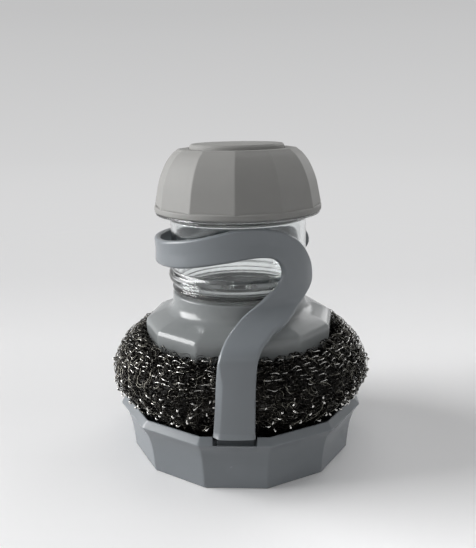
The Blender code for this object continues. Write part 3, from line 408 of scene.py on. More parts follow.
def add_camera():
    """The photograph's camera: a little right of the arm, looking down on the brush."""
    data = bpy.data.cameras.new("camera")
    data.lens = CAMERA_LENS
    data.sensor_width = CAMERA_SENSOR
    data.clip_start = 0.01
    data.clip_end = 20
    camera = placed("camera", data)
    spot = Vector((math.sin(CAMERA_SIDE), -math.cos(CAMERA_SIDE), 0)) * CAMERA_DISTANCE
    spot.x += CAMERA_SHIFT
    spot.z = CAMERA_HEIGHT
    camera.matrix_world = (Matrix.Translation(spot) @ Matrix.Rotation(CAMERA_TURN, 4, "Z")
                           @ Matrix.Rotation(math.pi / 2 - CAMERA_PITCH, 4, "X")
                           @ Matrix.Rotation(CAMERA_ROLL, 4, "Z"))
    bpy.context.scene.camera = camera
    bpy.context.scene.view_settings.view_transform = "Standard"


def add_light():
    """A wide soft window on the left, weak light from overhead, from behind on the right and from the room."""
    for name, (spot, size, power, reflected) in LAMPS.items():
        data = bpy.data.lights.new(name, "AREA")
        data.shape = "RECTANGLE"
        data.size, data.size_y = size
        data.energy = power
        lamp = placed(name, data)
        lamp.location = spot
        reach = Vector(LAMP_TARGET) - Vector(spot)
        lamp.rotation_euler = reach.to_track_quat("-Z", "Y").to_euler()
        lamp.visible_camera = False
        lamp.visible_glossy = reflected
        if name == "window":
            data.use_nodes = True
            tree = data.node_tree
            even = added(tree, "LightFalloff", values={"Strength": 1 / reach.length_squared})
            wire(tree, even.outputs["Constant"], tree.nodes["Emission"], "Strength")
    world = bpy.context.scene.world or bpy.data.worlds.new("room")
    bpy.context.scene.world = world
    world.use_nodes = True
    fill(world.node_tree.nodes["Background"], {"Color": ROOM_COLOUR, "Strength": ROOM_STRENGTH})


def add_stage():
    """A pale round floor that curves up into a wall all round."""
    outline = [(0, 0, 1), (STAGE_FLOOR, 0, 1)]
    for i in range(1, STAGE_STEPS + 1):
        turn = math.pi / 2 * i / STAGE_STEPS
        outline.append((STAGE_FLOOR + STAGE_BEND * math.sin(turn), STAGE_BEND - STAGE_BEND * math.cos(turn), 1))
    outline.append((STAGE_FLOOR + STAGE_BEND, STAGE_TOP, 1))
    sweep = placed("sweep", spun("sweep", outline, round_turn(), closed=False))
    sweep.data.materials.append(stage_paper())


def wire(tree, source, target, socket):
    """Join a socket, or a node's first output, to an input of another node."""
    if isinstance(source, bpy.types.Node):
        source = source.outputs[0]
    tree.links.new(source, target.inputs[socket])


def fill(node, values):
    for socket, value in values.items():
        node.inputs[socket].default_value = value


def added(tree, kind, wires=None, values=None, **settings):
    """A new shader node with its settings, what feeds its inputs, and its other values."""
    node = tree.nodes.new("ShaderNode" + kind)
    for name, setting in settings.items():
        setattr(node, name, setting)
    for socket, source in (wires or {}).items():
        wire(tree, source, node, socket)
    fill(node, values or {})
    return node


def new_material(name, values):
    material = bpy.data.materials.new(name)
    material.use_nodes = True
    shader = material.node_tree.nodes["Principled BSDF"]
    fill(shader, values)
    return material, material.node_tree, shader


def shade_ramp(tree, source, shades):
    """Shades by distance over the stage."""
    ramp = added(tree, "ValToRGB", {"Fac": source})
    stops = ramp.color_ramp.elements
    while len(stops) < len(shades):
        stops.new(0.5)
    for stop, (reach, shade) in zip(stops, shades):
        stop.position = reach / STAGE_REACH
        stop.color = (shade, shade, shade * 1.006, 1.0)
    return ramp


def stage_paper():
    """Pale paper round the brush, its colour graded as painted light, which melts into a plain pale distance that
    glows as painted light, and throws back less than it shows.
    """
    material, tree, paper = new_material("stage_paper", {"Roughness": 0.9, "Specular IOR Level": 0.1})
    x, y, z = added(tree, "SeparateXYZ", {"Vector": added(tree, "TexCoord").outputs["Object"]}).outputs
    level = added(tree, "CombineXYZ", {"X": x, "Y": y})
    away = added(tree, "VectorMath", {0: level}, operation="LENGTH").outputs["Value"]
    run = added(tree, "Math", {0: away, 1: z}, operation="ADD")
    share = added(tree, "MapRange", {"Value": run}, {"From Max": STAGE_REACH})
    behind = added(tree, "MapRange", {"Value": y},
                   {"From Min": PAPER_FRONT, "From Max": PAPER_FRONT + STAGE_REACH})
    diffuse = added(tree, "LightPath").outputs["Is Diffuse Ray"]
    colour = added(tree, "Mix", {0: diffuse, 6: shade_ramp(tree, behind, PAPER_SHADES)},
                   {7: (PAPER_BOUNCE, PAPER_BOUNCE, PAPER_BOUNCE, 1.0)}, data_type="RGBA")
    wire(tree, colour.outputs[2], paper, "Base Color")
    distance = added(tree, "Emission", {"Color": shade_ramp(tree, share, FAR_SHADES)})
    far = added(tree, "MapRange", {"Value": run}, {"From Min": FAR_START, "From Max": FAR_FULL},
                interpolation_type="SMOOTHSTEP")
    shown = added(tree, "Math", {0: far, 1: diffuse}, operation="SUBTRACT", use_clamp=True)
    mix = added(tree, "MixShader", {0: shown, 1: paper, 2: distance})
    wire(tree, mix, tree.nodes["Material Output"], "Surface")
    return material


def moulded(name, colour, other, roughness, grain=0.00003, mottle=160.0, metallic=0.0, clear=0.0, specular=0.5):
    """A moulded finish: two near colours in soft clouds, a fine grain and an uneven sheen."""
    material, tree, shader = new_material(name, {
        "Metallic": metallic, "Transmission Weight": clear, "IOR": PLASTIC_IOR, "Specular IOR Level": specular})
    place = added(tree, "TexCoord").outputs["Object"]
    clouds = added(tree, "TexNoise", {"Vector": place}, {"Scale": mottle, "Detail": 3.0})
    ramp = added(tree, "ValToRGB", {"Fac": clouds})
    for stop, position, shade in zip(ramp.color_ramp.elements, (0.3, 0.7), (colour, other)):
        stop.position = position
        stop.color = (*shade, 1.0)
    wire(tree, ramp, shader, "Base Color")
    sheen = added(tree, "MapRange", {"Value": clouds},
                  {"To Min": roughness * (1 - SHEEN_SHARE), "To Max": roughness * (1 + SHEEN_SHARE)})
    wire(tree, sheen, shader, "Roughness")
    fine = added(tree, "TexNoise", {"Vector": place}, {"Scale": GRAIN_SCALE, "Detail": 2.0})
    bump = added(tree, "Bump", {"Height": fine}, {"Strength": 1.0, "Distance": grain})
    wire(tree, bump, shader, "Normal")
    return material


def make_looks():
    for name, row in FINISHES.items():
        LOOKS[name] = moulded(name, *row)
    # painted shade and painted glints: the ribbon is coloured near black for the most part, standing in for the
    # shade in the crumpled knit, with brighter flecks at random spots from noise
    stops = LOOKS["wire_ball"].node_tree.nodes["Color Ramp"].color_ramp.elements
    stops[0].position = 0.42
    stops[1].position = 0.58
    stops.new(0.71).color = (0.28, 0.27, 0.25, 1.0)


def dress_nodes():
    for row in frame["record"]["subparts"]:
        node = frame["nodes"][row["node"]]
        node.data.materials.clear()
        node.data.materials.append(LOOKS[row["material_slot"]])


def make_mesh(name, verts, faces, smooth=SMOOTH_ANGLE):
    """A closed mesh with merged points, outward faces and soft shading below an angle."""
    mesh = bpy.data.meshes.new(name)
    mesh.from_pydata([tuple(v) for v in verts], [], faces)
    shape = bmesh.new()
    shape.from_mesh(mesh)
    bmesh.ops.remove_doubles(shape, verts=shape.verts, dist=MERGE)
    bmesh.ops.dissolve_degenerate(shape, edges=shape.edges, dist=MERGE)
    bmesh.ops.recalc_face_normals(shape, faces=shape.faces)
    shape.to_mesh(mesh)
    shape.free()
    return shaded(mesh, smooth)


def shaded(mesh, smooth):
    mesh.shade_smooth()
    mesh.set_sharp_from_angle(angle=math.radians(smooth))
    return mesh


def add_piece(name, mesh, slot, body, replaced=(), look=None):
    """Put a mesh in the scene as a piece that rides a body."""
    piece = placed(name, mesh)
    mesh.materials.append(LOOKS[look or slot])
    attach(piece, body)
    if replaced:
        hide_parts(*replaced)
    return piece


def twelve_sided(soft, turn):
    """Angles round a twelve-sided outline with soft corners, and how far it reaches at each.

    The corners' radius, their centre's distance and the reach are shares of the outline's corner radius.
    """
    centre = (FLAT_SHARE - soft) / FLAT_SHARE
    tangent = HALF_SIDE - math.atan(centre * math.sin(HALF_SIDE) / FLAT_SHARE)
    half = [tangent * i / CORNER_STEPS for i in range(CORNER_STEPS + 1)]
    start = tangent + FLAT_START
    half += [between(start, HALF_SIDE, i / FLAT_STEPS) for i in range(FLAT_STEPS + 1)]
    offsets = np.array([-a for a in reversed(half[1:])] + half[:-1])
    arc = centre * np.cos(offsets) + np.sqrt(np.maximum(soft ** 2 - (centre * np.sin(offsets)) ** 2, 0))
    flat = FLAT_SHARE / np.cos(HALF_SIDE - np.abs(offsets))
    reach = np.where(np.abs(offsets) < tangent, arc, flat)
    corners = HALF_SIDE + turn + 2 * math.pi * np.arange(SIDES) / SIDES
    angles = (corners[:, None] + offsets[None, :]).ravel()
    return angles, np.tile(reach, SIDES)


def round_turn(steps=ROUND_STEPS):
    return 2 * math.pi * np.arange(steps) / steps, np.ones(steps)


def softened(outline, soft, closed=True):
    """Round the corners of an outline of (radius, height, roundness) rows, with seams that keep flats flat.

    A fourth value in a row is the radius of that corner. The ends of an open outline stay.
    """
    rows = [tuple(row) + (1.0,) * (3 - len(row)) for row in outline]
    count = len(rows)
    made = []
    for i, row in enumerate(rows):
        radius = row[3] if len(row) > 3 else soft
        here = Vector(row[:2])
        back = Vector(rows[i - 1][:2]) - here
        on = Vector(rows[(i + 1) % count][:2]) - here
        back_way, on_way = back.normalized(), on.normalized()
        half = math.acos(max(-1, min(1, back_way.dot(on_way)))) / 2
        end = not closed and i in (0, count - 1)
        if end or radius <= 0 or half > STRAIGHT or min(back.length, on.length) < SHORT_EDGE:
            made.append([(*here, row[2])])
            continue
        tangent = min(radius / math.tan(half), back.length * CORNER_TAKES, on.length * CORNER_TAKES)
        radius = tangent * math.tan(half)
        centre = here + (back_way + on_way).normalized() * (radius / math.sin(half))
        first = here + back_way * tangent - centre
        last = here + on_way * tangent - centre
        made.append([(*(centre + first.lerp(last, k / ARC_STEPS).normalized() * radius), row[2])
                     for k in range(ARC_STEPS + 1)])
    points = []
    for i, arc in enumerate(made):
        points += arc
        if i == count - 1 and not closed:
            break
        after = made[(i + 1) % count][0]
        start = Vector(arc[-1][:2])
        run = Vector(after[:2]) - start
        if run.length > 4 * SEAM:
            for share in (SEAM / run.length, 1 - SEAM / run.length):
                points.append((*(start + run * share), between(arc[-1][2], after[2], share)))
    return points


def ring_faces(rings, n, closed):
    """The faces between rings of n points, each joined to the next one."""
    faces = []
    for i in range(rings if closed else rings - 1):
        low, high = i * n, (i + 1) % rings * n
        for k in range(n):
            m = (k + 1) % n
            faces.append((low + k, low + m, high + m, high + k))
    return faces


def spun(name, outline, around=None, closed=True):
    """Turn an outline of (radius, height, roundness) rows round the Z axis."""
    angles, reach = around or round_turn()
    rows = np.array(outline)
    radii = rows[:, :1] * (rows[:, 2:] + (1 - rows[:, 2:]) * reach)
    heights = np.repeat(rows[:, 1:2], len(angles), axis=1)
    verts = np.stack([radii * np.cos(angles), radii * np.sin(angles), heights], -1).reshape(-1, 3)
    return make_mesh(name, verts, ring_faces(len(rows), len(angles), closed))


def stacked(name, rings, smooth=SMOOTH_ANGLE):
    """A closed mesh through rings of points, with a face over each end."""
    n = len(rings[0])
    verts = [point for ring in rings for point in ring]
    lids = [tuple(range(n)), tuple(range(len(verts) - n, len(verts)))]
    return make_mesh(name, verts, ring_faces(len(rings), n, False) + lids, smooth)


def catmull(rows, steps):
    """More rows, on a smooth curve through the given ones."""
    smooth = []
    last = len(rows) - 1
    for i in range(last):
        a, b, c, d = rows[max(i - 1, 0)], rows[i], rows[i + 1], rows[min(i + 2, last)]
        for k in range(steps):
            t = k / steps
            smooth.append(tuple(
                0.5 * (2 * q + (r - p) * t + (2 * p - 5 * q + 4 * r - s) * t ** 2
                       + (3 * q - p - 3 * r + s) * t ** 3)
                for p, q, r, s in zip(a, b, c, d)))
    smooth.append(rows[last])
    return smooth


def section(node):
    """The outline of a turned CAD node: its (radius, height) points at +X, in order."""
    shape = bmesh.new()
    shape.from_mesh(frame["nodes"][node].data)
    bmesh.ops.remove_doubles(shape, verts=shape.verts, dist=TOUCH)
    links = {v: [] for v in shape.verts if abs(v.co.y) < TOUCH and v.co.x > -TOUCH}
    for a, b in (edge.verts for edge in shape.edges):
        if a in links and b in links:
            links[a].append(b)
            links[b].append(a)
    ends = [v for v in links if len(links[v]) == 1]
    path = []
    onward = [max(ends, key=lambda v: v.co.z) if ends else max(links, key=lambda v: v.co.x)]
    while onward:
        path.append(onward[0])
        onward = [v for v in links[path[-1]] if v not in path]
    outline = [(max(v.co.x, 0.0), v.co.z) for v in path]
    if ends:
        outline = [(0.0, outline[0][1])] * (outline[0][0] > 0) + outline
        outline += [(0.0, outline[-1][1])] * (outline[-1][0] > 0)
    shape.free()
    return outline, not ends


def respun(node, body, slot, soft=FINE_SOFT, steps=FINE_STEPS):
    """A turned CAD node again, finer and with soft edges."""
    outline, closed = section(node)
    rows = softened(outline, soft, closed=closed)
    mesh = spun(node + "_form", rows, round_turn(steps), closed)
    return add_piece(node + "_form", mesh, slot, body, (node,))


def box_mesh(name, low, high, soft=0.0):
    """A block between two corners, with soft edges."""
    xs, ys, zs = zip(low, high)
    mesh = bpy.data.meshes.new(name)
    mesh.from_pydata([(x, y, z) for x in xs for y in ys for z in zs], [],
                     [(0, 1, 3, 2), (4, 6, 7, 5), (0, 4, 5, 1), (2, 3, 7, 6), (0, 2, 6, 4), (1, 5, 7, 3)])
    shape = bmesh.new()
    shape.from_mesh(mesh)
    bmesh.ops.recalc_face_normals(shape, faces=shape.faces)
    if soft:
        bmesh.ops.bevel(shape, geom=shape.edges[:], offset=soft, segments=BEVEL_STEPS, profile=0.5,
                        affect="EDGES")
    shape.to_mesh(mesh)
    shape.free()
    return mesh


def joined(name, meshes, smooth=SMOOTH_ANGLE):
    """One mesh of several."""
    shape = bmesh.new()
    for mesh in meshes:
        shape.from_mesh(mesh)
    result = bpy.data.meshes.new(name)
    shape.to_mesh(result)
    shape.free()
    for mesh in meshes:
        bpy.data.meshes.remove(mesh)
    return shaded(result, smooth)


def carved(mesh, cutter):
    """A mesh with another one cut out of it, both used up."""
    body = placed("carved", mesh)
    tool = placed("carver", cutter)
    modifier = body.modifiers.new("carve", "BOOLEAN")
    modifier.operation = "DIFFERENCE"
    modifier.object = tool
    modifier.solver = "EXACT"
    bpy.context.view_layer.update()
    result = bpy.data.meshes.new_from_object(body.evaluated_get(bpy.context.evaluated_depsgraph_get()))
    result.name = mesh.name + "_cut"
    for thing in (body, tool):
        bpy.data.objects.remove(thing, do_unlink=True)
    return result


def tray_outer_radius(height):
    """Corner radius of the tray's flared outer wall at a height."""
    rows = catmull([(TRAY_BRIM * up, between(TRAY_FOOT_RADIUS, TRAY_RADIUS, out)) for out, up in TRAY_WALL_SHARES],
                   CURVE_STEPS)
    return float(np.interp(height, [row[0] for row in rows], [row[1] for row in rows]))


def tray_inner_radius(height):
    return tray_outer_radius(max(height, TRAY_FLOOR)) - TRAY_WALL / FLAT_SHARE


def add_tray():
    """The twelve-sided drip tray with a soft rim, the arm's socket and the ribs."""
    rim = TRAY_RADIUS - RIM_RUN
    steps = [TRAY_BRIM * i / WALL_STEPS for i in range(1, WALL_STEPS)]
    outline = [(0, TRAY_FLOOR, 0), (tray_inner_radius(TRAY_FLOOR), TRAY_FLOOR, 0, FLOOR_SOFT)]
    outline += [(tray_inner_radius(h), h, 0, 0.0) for h in steps if h > TRAY_FLOOR + WALL_START]
    outline += [(rim - RIM_LAND, TRAY_BRIM, 0, BRIM_SOFT), (rim - RIM_LAND, TRAY_HEIGHT, 0, SOFT),
                (rim, TRAY_HEIGHT, 0, SOFT), (TRAY_RADIUS, TRAY_BRIM, 0, EDGE_SOFT)]
    outline += [(tray_outer_radius(h), h, 0, 0.0) for h in reversed(steps)]
    outline += [(TRAY_FOOT_RADIUS, 0, 0, FOOT_SOFT), (0, 0, 0)]
    rows = softened(outline, SOFT, closed=False)
    tray = spun("tray_form", rows, twelve_sided(TRAY_CORNER_SHARE, 0), closed=False)
    notch = box_mesh("notch", (-NOTCH_WIDTH / 2, -TRAY_RADIUS - OVERRUN, TRAY_BRIM),
                     (NOTCH_WIDTH / 2, -SOCKET_INNER, TRAY_HEIGHT + OVERRUN))
    tray = carved(carved(tray, notch), slot_mesh(SOCKET_INNER))
    socket = carved(socket_mesh(), box_mesh("pocket", (-POCKET_HALF, -POCKET_OUTER, POCKET_Z),
                                            (POCKET_HALF, -POCKET_INNER, TRAY_HEIGHT + OVERRUN)))
    parts = [tray, carved(socket, slot_mesh(POCKET_OUTER + SLOT_LIP))]
    for i in range(RIB_COUNT):
        rib = box_mesh("rib", (RIB_INNER_RADIUS, -RIB_WIDTH / 2, TRAY_FLOOR / 2),
                       (RIB_OUTER_RADIUS, RIB_WIDTH / 2, TRAY_FLOOR + RIB_HEIGHT), BROAD_SOFT)
        rib.transform(Matrix.Rotation(2 * math.pi * i / RIB_COUNT, 4, "Z"))
        parts.append(rib)
    add_piece("tray_form", joined("tray_form", parts), "grey_plastic", "tray", ("base_tray",))


def oblong(half, front, back, height):
    """The four corners of a level oblong in the tray's front."""
    return [(-half, -front, height), (half, -front, height), (half, -back, height), (-half, -back, height)]


def slot_mesh(back):
    """What is cut out behind the thin lip under the arm's foot: it leans like the tray's wall."""
    rings = []
    for height in (TRAY_BRIM - SLOT_DEPTH, TRAY_BRIM, TRAY_BRIM + OVERRUN / 2):
        front = tray_outer_radius(min(height, TRAY_BRIM)) * FLAT_SHARE - SLOT_LIP
        rings.append(oblong(NOTCH_WIDTH / 2 - GAP, front, back, height))
    return stacked("slot", rings)


def socket_mesh():
    """The block in the tray's front wall that the arm's tongue goes into."""
    rings = []
    for i in range(SOCKET_STEPS + 1):
        height = between(TRAY_FLOOR / 2, SOCKET_HEIGHT, i / SOCKET_STEPS)
        front = tray_inner_radius(height) * FLAT_SHARE + TRAY_WALL / 3
        rings.append(oblong(SOCKET_HALF, front, SOCKET_INNER, height))
    return stacked("socket", rings)


def strap_height(share):
    """Height for a share: up to the bend the arm follows the ball, and past it the bottle."""
    if share < BEND_START_SHARE:
        return between(ARM_FOOT_Z + FOOT_RISE, BEND_Z, share / BEND_START_SHARE)
    return between(BEND_Z, ARM_TOP, (share - BEND_START_SHARE) / (1 - BEND_START_SHARE))


def bend_radius(height):
    """Outer radius and slope of the strap at a height: upright, then drawn in to the collar."""
    low = strap_height(BEND_START_SHARE)
    high = strap_height(BEND_END_SHARE)
    share = clamped((height - low) / (high - low))
    drawn = (ARM_RADIUS - COLLAR_RADIUS) * share ** 3 * (share * (6 * share - 15) + 10)
    slope = (ARM_RADIUS - COLLAR_RADIUS) * 30 * (share * (1 - share)) ** 2 / (high - low)
    return ARM_RADIUS - drawn, slope


def strap_point(angle, share, depth):
    """A point of the strap, at a depth under its outer face, which stands off the bottle most at its left side."""
    height = strap_height(share)
    radius, slope = bend_radius(height)
    radius += COLLAR_SWELL * (1 - math.cos(2 * math.pi * clamped((SWELL_START - angle) / SWELL_ARC))) / 2
    turn = math.radians(angle)
    outward = Vector((math.sin(turn), -math.cos(turn), 0))
    normal = (outward + Vector((0, 0, slope))).normalized()
    return outward * radius + Vector((0, 0, height)) - normal * depth


def strap_outline(width, share):
    """The strap's section as (across, depth) points: a flat face, sloping edges and a flat back."""
    wide = eased(1 - clamped((share - BAND_END) / BAND_FADE))
    shrink = min(width / STRAP_NARROW, 1)
    near = between(THIN_BAND, WIDE_BAND, wide) * shrink
    near_depth = between(THIN_BAND, BAND_DEPTH, wide)
    far = FAR_BAND * shrink
    back = THIN_BAND * shrink * BACK_SHARE
    under = STRAP_THICKNESS - THIN_BAND * BACK_SHARE
    corners = [Vector(corner) for corner in (
        (near, 0), (width - far, 0), (width, FAR_BAND), (width, under), (width - back, STRAP_THICKNESS),
        (back, STRAP_THICKNESS), (0, under), (0, min(near_depth, under - STRAP_SOFT)))]
    points = []
    for i, here in enumerate(corners):
        after = corners[(i + 1) % len(corners)]
        ends = []
        for start, aim in ((here, corners[i - 1]), (here, after), (after, here)):
            run = aim - start
            ends.append(start + run.normalized() * min(STRAP_SOFT, run.length * STRAP_TAKES))
        first, last, end = ends
        for k in range(STRAP_ARC + 1):
            t = k / STRAP_ARC
            points.append(first * (1 - t) ** 2 + here * 2 * t * (1 - t) + last * t * t)
        steps = STRAP_ACROSS if i in (0, 4) else STRAP_ARC
        points += [last.lerp(end, k / steps) for k in range(1, steps)]
    return points


def strap_section(left_angle, left_share, right_angle, right_share):
    """The ring of points round one section of the strap."""
    width = (strap_point(left_angle, left_share, 0) - strap_point(right_angle, right_share, 0)).length
    hollow = STRAP_HOLLOW * eased(clamped((left_share - BEND_START_SHARE) / BEND_END_SHARE))
    foot = FOOT_FLARE * max(1 - left_share / FOOT_SHARE, 0)
    ring = []
    for across, depth in strap_outline(width, left_share):
        mix = across / width
        angle = between(left_angle, right_angle, mix)
        dip = (hollow * (1 - abs(2 * mix - 1)) + foot) * (1 - depth / STRAP_THICKNESS)
        ring.append(strap_point(angle, between(left_share, right_share, mix), depth + dip))
    return ring


def add_arm():
    """The strap, and the web and the tongue under its foot."""
    strap = stacked("strap", [strap_section(*row) for row in catmull(STRAP_SHARES, STRAP_STEPS)], STRAP_SMOOTH)
    half = TONGUE_WIDTH / 2
    web_outer = ARM_RADIUS - STRAP_THICKNESS / 2 - GAP
    web = box_mesh("web", (-half, -web_outer, ARM_FOOT_Z + FOOT_RISE + GAP),
                   (half, -TONGUE_INNER, ARM_FOOT_Z + WEB_THICKNESS), FINE_SOFT)
    tongue = box_mesh("tongue", (-half, -TONGUE_OUTER, TONGUE_TIP_HEIGHT),
                      (half, -TONGUE_INNER, ARM_FOOT_Z + WEB_THICKNESS - 2 * GAP), BROAD_SOFT)
    mesh = joined("arm_form", [strap, web, tongue], STRAP_SMOOTH)
    add_piece("arm_form", mesh, "grey_plastic", "arm", ("holder_arm",))


def add_head():
    """The soft twelve-sided skirt, whose sides melt into the round neck, and the socket in it."""
    outer = catmull(SKIRT_ROWS, CURVE_STEPS)[::-1]
    inner = [(row[0] - HEAD_WALL, row[1], 0.0, 0.0)
             for row in catmull(SKIRT_ROWS[:SKIRT_WALL_ROWS], SKIRT_WALL_STEPS)]
    bend, roof = (row[0] - HEAD_WALL for row in SKIRT_ROWS[SKIRT_BEND_ROW:SKIRT_BEND_ROW + 2])
    seam = HEAD_NECK_RADIUS - HEAD_WALL / 2
    skirt = [(*row, 0.0) for row in outer[:-1]]
    skirt += [(*outer[-1], EDGE_SOFT), (*inner[0][:3], EDGE_SOFT)] + inner[1:]
    skirt += [(bend, SKIRT_BEND_Z, 0.0, FOOT_SOFT), (roof, HEAD_UNDERSIDE - GAP, 0.0, FOOT_SOFT),
              (seam, HEAD_UNDERSIDE + GAP, 1.0, 0.0), (seam, SKIRT_ROWS[-1][1], 1.0, 0.0)]
    skirt_mesh = spun("skirt", softened(skirt, SOFT), twelve_sided(SKIRT_CORNER_SHARE, HEAD_TURN))
    neck = [(HEAD_NECK_RADIUS, HEAD_TOP, 1, EDGE_SOFT), (HEAD_NECK_RADIUS, HEAD_UNDERSIDE),
            (NOZZLE_HOLE, HEAD_UNDERSIDE), (NOZZLE_HOLE, SOCKET_FLOOR), (HEAD_BORE, SOCKET_FLOOR),
            (HEAD_BORE, HEAD_TOP, 1, SOFT)]
    parts = [skirt_mesh, spun("neck", softened(neck, FINE_SOFT))]
    high = HEAD_UNDERSIDE + HEAD_WALL / 2
    low = HEAD_UNDERSIDE - BOSS_HEIGHT
    boss = [(0, high), (BOSS_RADIUS, high), (BOSS_RADIUS, low), (SCREW_HOLE, low),
            (SCREW_HOLE, low + SCREW_HOLE_DEPTH), (0, low + SCREW_HOLE_DEPTH)]
    for i in range(SCREW_COUNT):
        mesh = spun("boss", softened(boss, FINE_SOFT, closed=False), round_turn(BOSS_STEPS), closed=False)
        turn = Matrix.Rotation(2 * math.pi * (i + 0.5) / SCREW_COUNT, 4, "Z")
        mesh.transform(turn @ Matrix.Translation((SCREW_CIRCLE, 0, 0)))
        parts.append(mesh)
    add_piece("head_form", joined("head_form", parts), "grey_plastic", "head", ("brush_head",), "head_plastic")


def add_cap():
    """The soft twelve-facet cap over its round rim band, and the clear lip ring under it."""
    facet_z = CAP_Z + CAP_RIM_HEIGHT
    drawn = [(between(CAP_SHOULDER_RADIUS, CAP_RADIUS, r), between(facet_z, CAP_TOP, z))
             for r, z in CAP_SHARES]
    shell = [(BUTTON_HOLE, CAP_CEILING, 1.0), (BUTTON_HOLE, CAP_TOP, 1.0, SOFT),
             (CAP_SHOULDER_RADIUS, CAP_TOP, 0.0, CAP_SHOULDER_SOFT)]
    shell += [(radius, height, 0.0, 0.0) for radius, height in catmull(drawn[:-1], CURVE_STEPS)[::-1]]
    shell += [(CAP_RADIUS - GAP, CAP_Z + GAP, 0.0), (CAP_RADIUS - CAP_WALL, CAP_Z + GAP, 0.0)]
    shell += [(radius - CAP_WALL, min(height - CAP_WALL / 2, CAP_CEILING), 0.0, 0.0)
              for radius, height in drawn[1:-2]]
    shell += [(CAP_SHOULDER_RADIUS - CAP_WALL / 4, CAP_CEILING, 0.0)]
    shell_mesh = spun("cap_shell", softened(shell, SOFT), twelve_sided(CAP_CORNER_SHARE, CAP_TURN))
    bore = (CAP_RADIUS - CAP_WALL) * FLAT_SHARE
    half_edge = CAP_RIM_HEIGHT / 4
    rim = [(CAP_RADIUS, facet_z, 1, half_edge), (CAP_RADIUS, CAP_Z, 1, half_edge), (bore, CAP_Z), (bore, facet_z)]
    rim_mesh = spun("cap_rim", softened(rim, FINE_SOFT))
    add_piece("cap_form", joined("cap_form", [shell_mesh, rim_mesh]), "cap_plastic", "cap", ("cap_shell",))
    lip = [(LIP_RADIUS, CAP_Z), (LIP_RADIUS, LIP_Z), (LIP_BORE, LIP_Z), (LIP_BORE, CAP_Z)]
    add_piece("cap_lip", spun("cap_lip", softened(lip, FINE_SOFT)), "clear_plastic", "cap")


def add_turned():
    respun("head_gasket", "head_seal", "silicone")
    respun("ball_retainer", "head", "inner_plastic")
    respun("reservoir", "bottle", "clear_plastic", BOTTLE_SOFT, ROUND_STEPS)
    respun("valve_ring", "bottle", "inner_plastic", steps=SMALL_STEPS)
    respun("cap_liner", "cap", "inner_plastic")
    respun("cap_gasket", "cap_seal", "silicone")
    respun("air_valve", "cap", "silicone", steps=SMALL_STEPS)
    respun("press_button", "button", "cap_plastic", BROAD_SOFT, ROUND_STEPS)
    respun("piston_ring", "button", "silicone")


def soft_field(turns, rows, cells, bands, seed):
    """Soft random values from -1 to 1 over the ball, by share of a turn and share of the way down."""
    grid = np.random.default_rng(seed).uniform(-1, 1, (cells, bands + 2))
    u = turns * cells
    v = np.clip(rows, 0, 1) * bands
    i = np.floor(u).astype(int)
    k = np.floor(v).astype(int)
    a = eased(u - i)
    b = eased(v - k)
    left = i % cells
    right = (i + 1) % cells
    low, high = (grid[left, row] * (1 - a) + grid[right, row] * a for row in (k, k + 1))
    return low * (1 - b) + high * b


def add_spring():
    """The return spring, copied from its CAD node to ride the cap."""
    mesh = frame["nodes"]["return_spring"].data.copy()
    mesh.name = "spring_form"
    piece = add_piece("spring_form", mesh, "spring_steel", "cap", ("return_spring",))
    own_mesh(piece)


def ball_curve():
    """The ball's outer curve from inside the groove down to its foot, evenly spaced, with its normals."""
    rows = [(BALL_LIP_RADIUS - inward, between(BALL_GROOVE_Z, BALL_TOP, up)) for inward, up in BALL_LIP_STEPS]
    for inner, outer, low, high, shares in BALL_PARTS:
        rows += [(between(inner, outer, r), between(low, high, z)) for r, z in shares]
    path = np.array(catmull(rows, BALL_STEPS))
    run = np.concatenate([[0], np.cumsum(np.linalg.norm(np.diff(path, axis=0), axis=1))])
    even = np.linspace(0, run[-1], BALL_POINTS)
    curve = np.stack([np.interp(even, run, path[:, 0]), np.interp(even, run, path[:, 1])], 1)
    ahead = unit(np.gradient(curve, axis=0))
    return even, curve, np.stack([-ahead[:, 1], ahead[:, 0]], 1)


def on_ball(curve, along, turns, lift):
    """World points at a run along the ball's curve, a share of a turn and a lift off its surface."""
    even, path, normals = curve
    radius, height = (np.interp(along, even, path[:, c]) + np.interp(along, even, normals[:, c]) * lift
                      for c in (0, 1))
    angle = 2 * math.pi * turns
    return np.stack([radius * np.cos(angle), radius * np.sin(angle), height], -1)


def pressed(points):
    """Points moved back where the arm, its web and the socket press into the ball."""
    x, y, z = np.abs(points[..., 0]), points[..., 1], points[..., 2]
    limit = np.where(z > DENT_Z, GAP - BALL_DENT, -1.0)
    limit = limit - np.clip((x - DENT_HALF) / DENT_FADE, 0, None) ** 2 * DENT_FALL
    for top, half, reach in DENT_BLOCKS:
        limit = np.maximum(limit, np.where((z < top) & (x < half), -reach, -1.0))
    moved = points.copy()
    moved[..., 1] = np.where(y < 0, np.maximum(y, limit), y)
    return moved


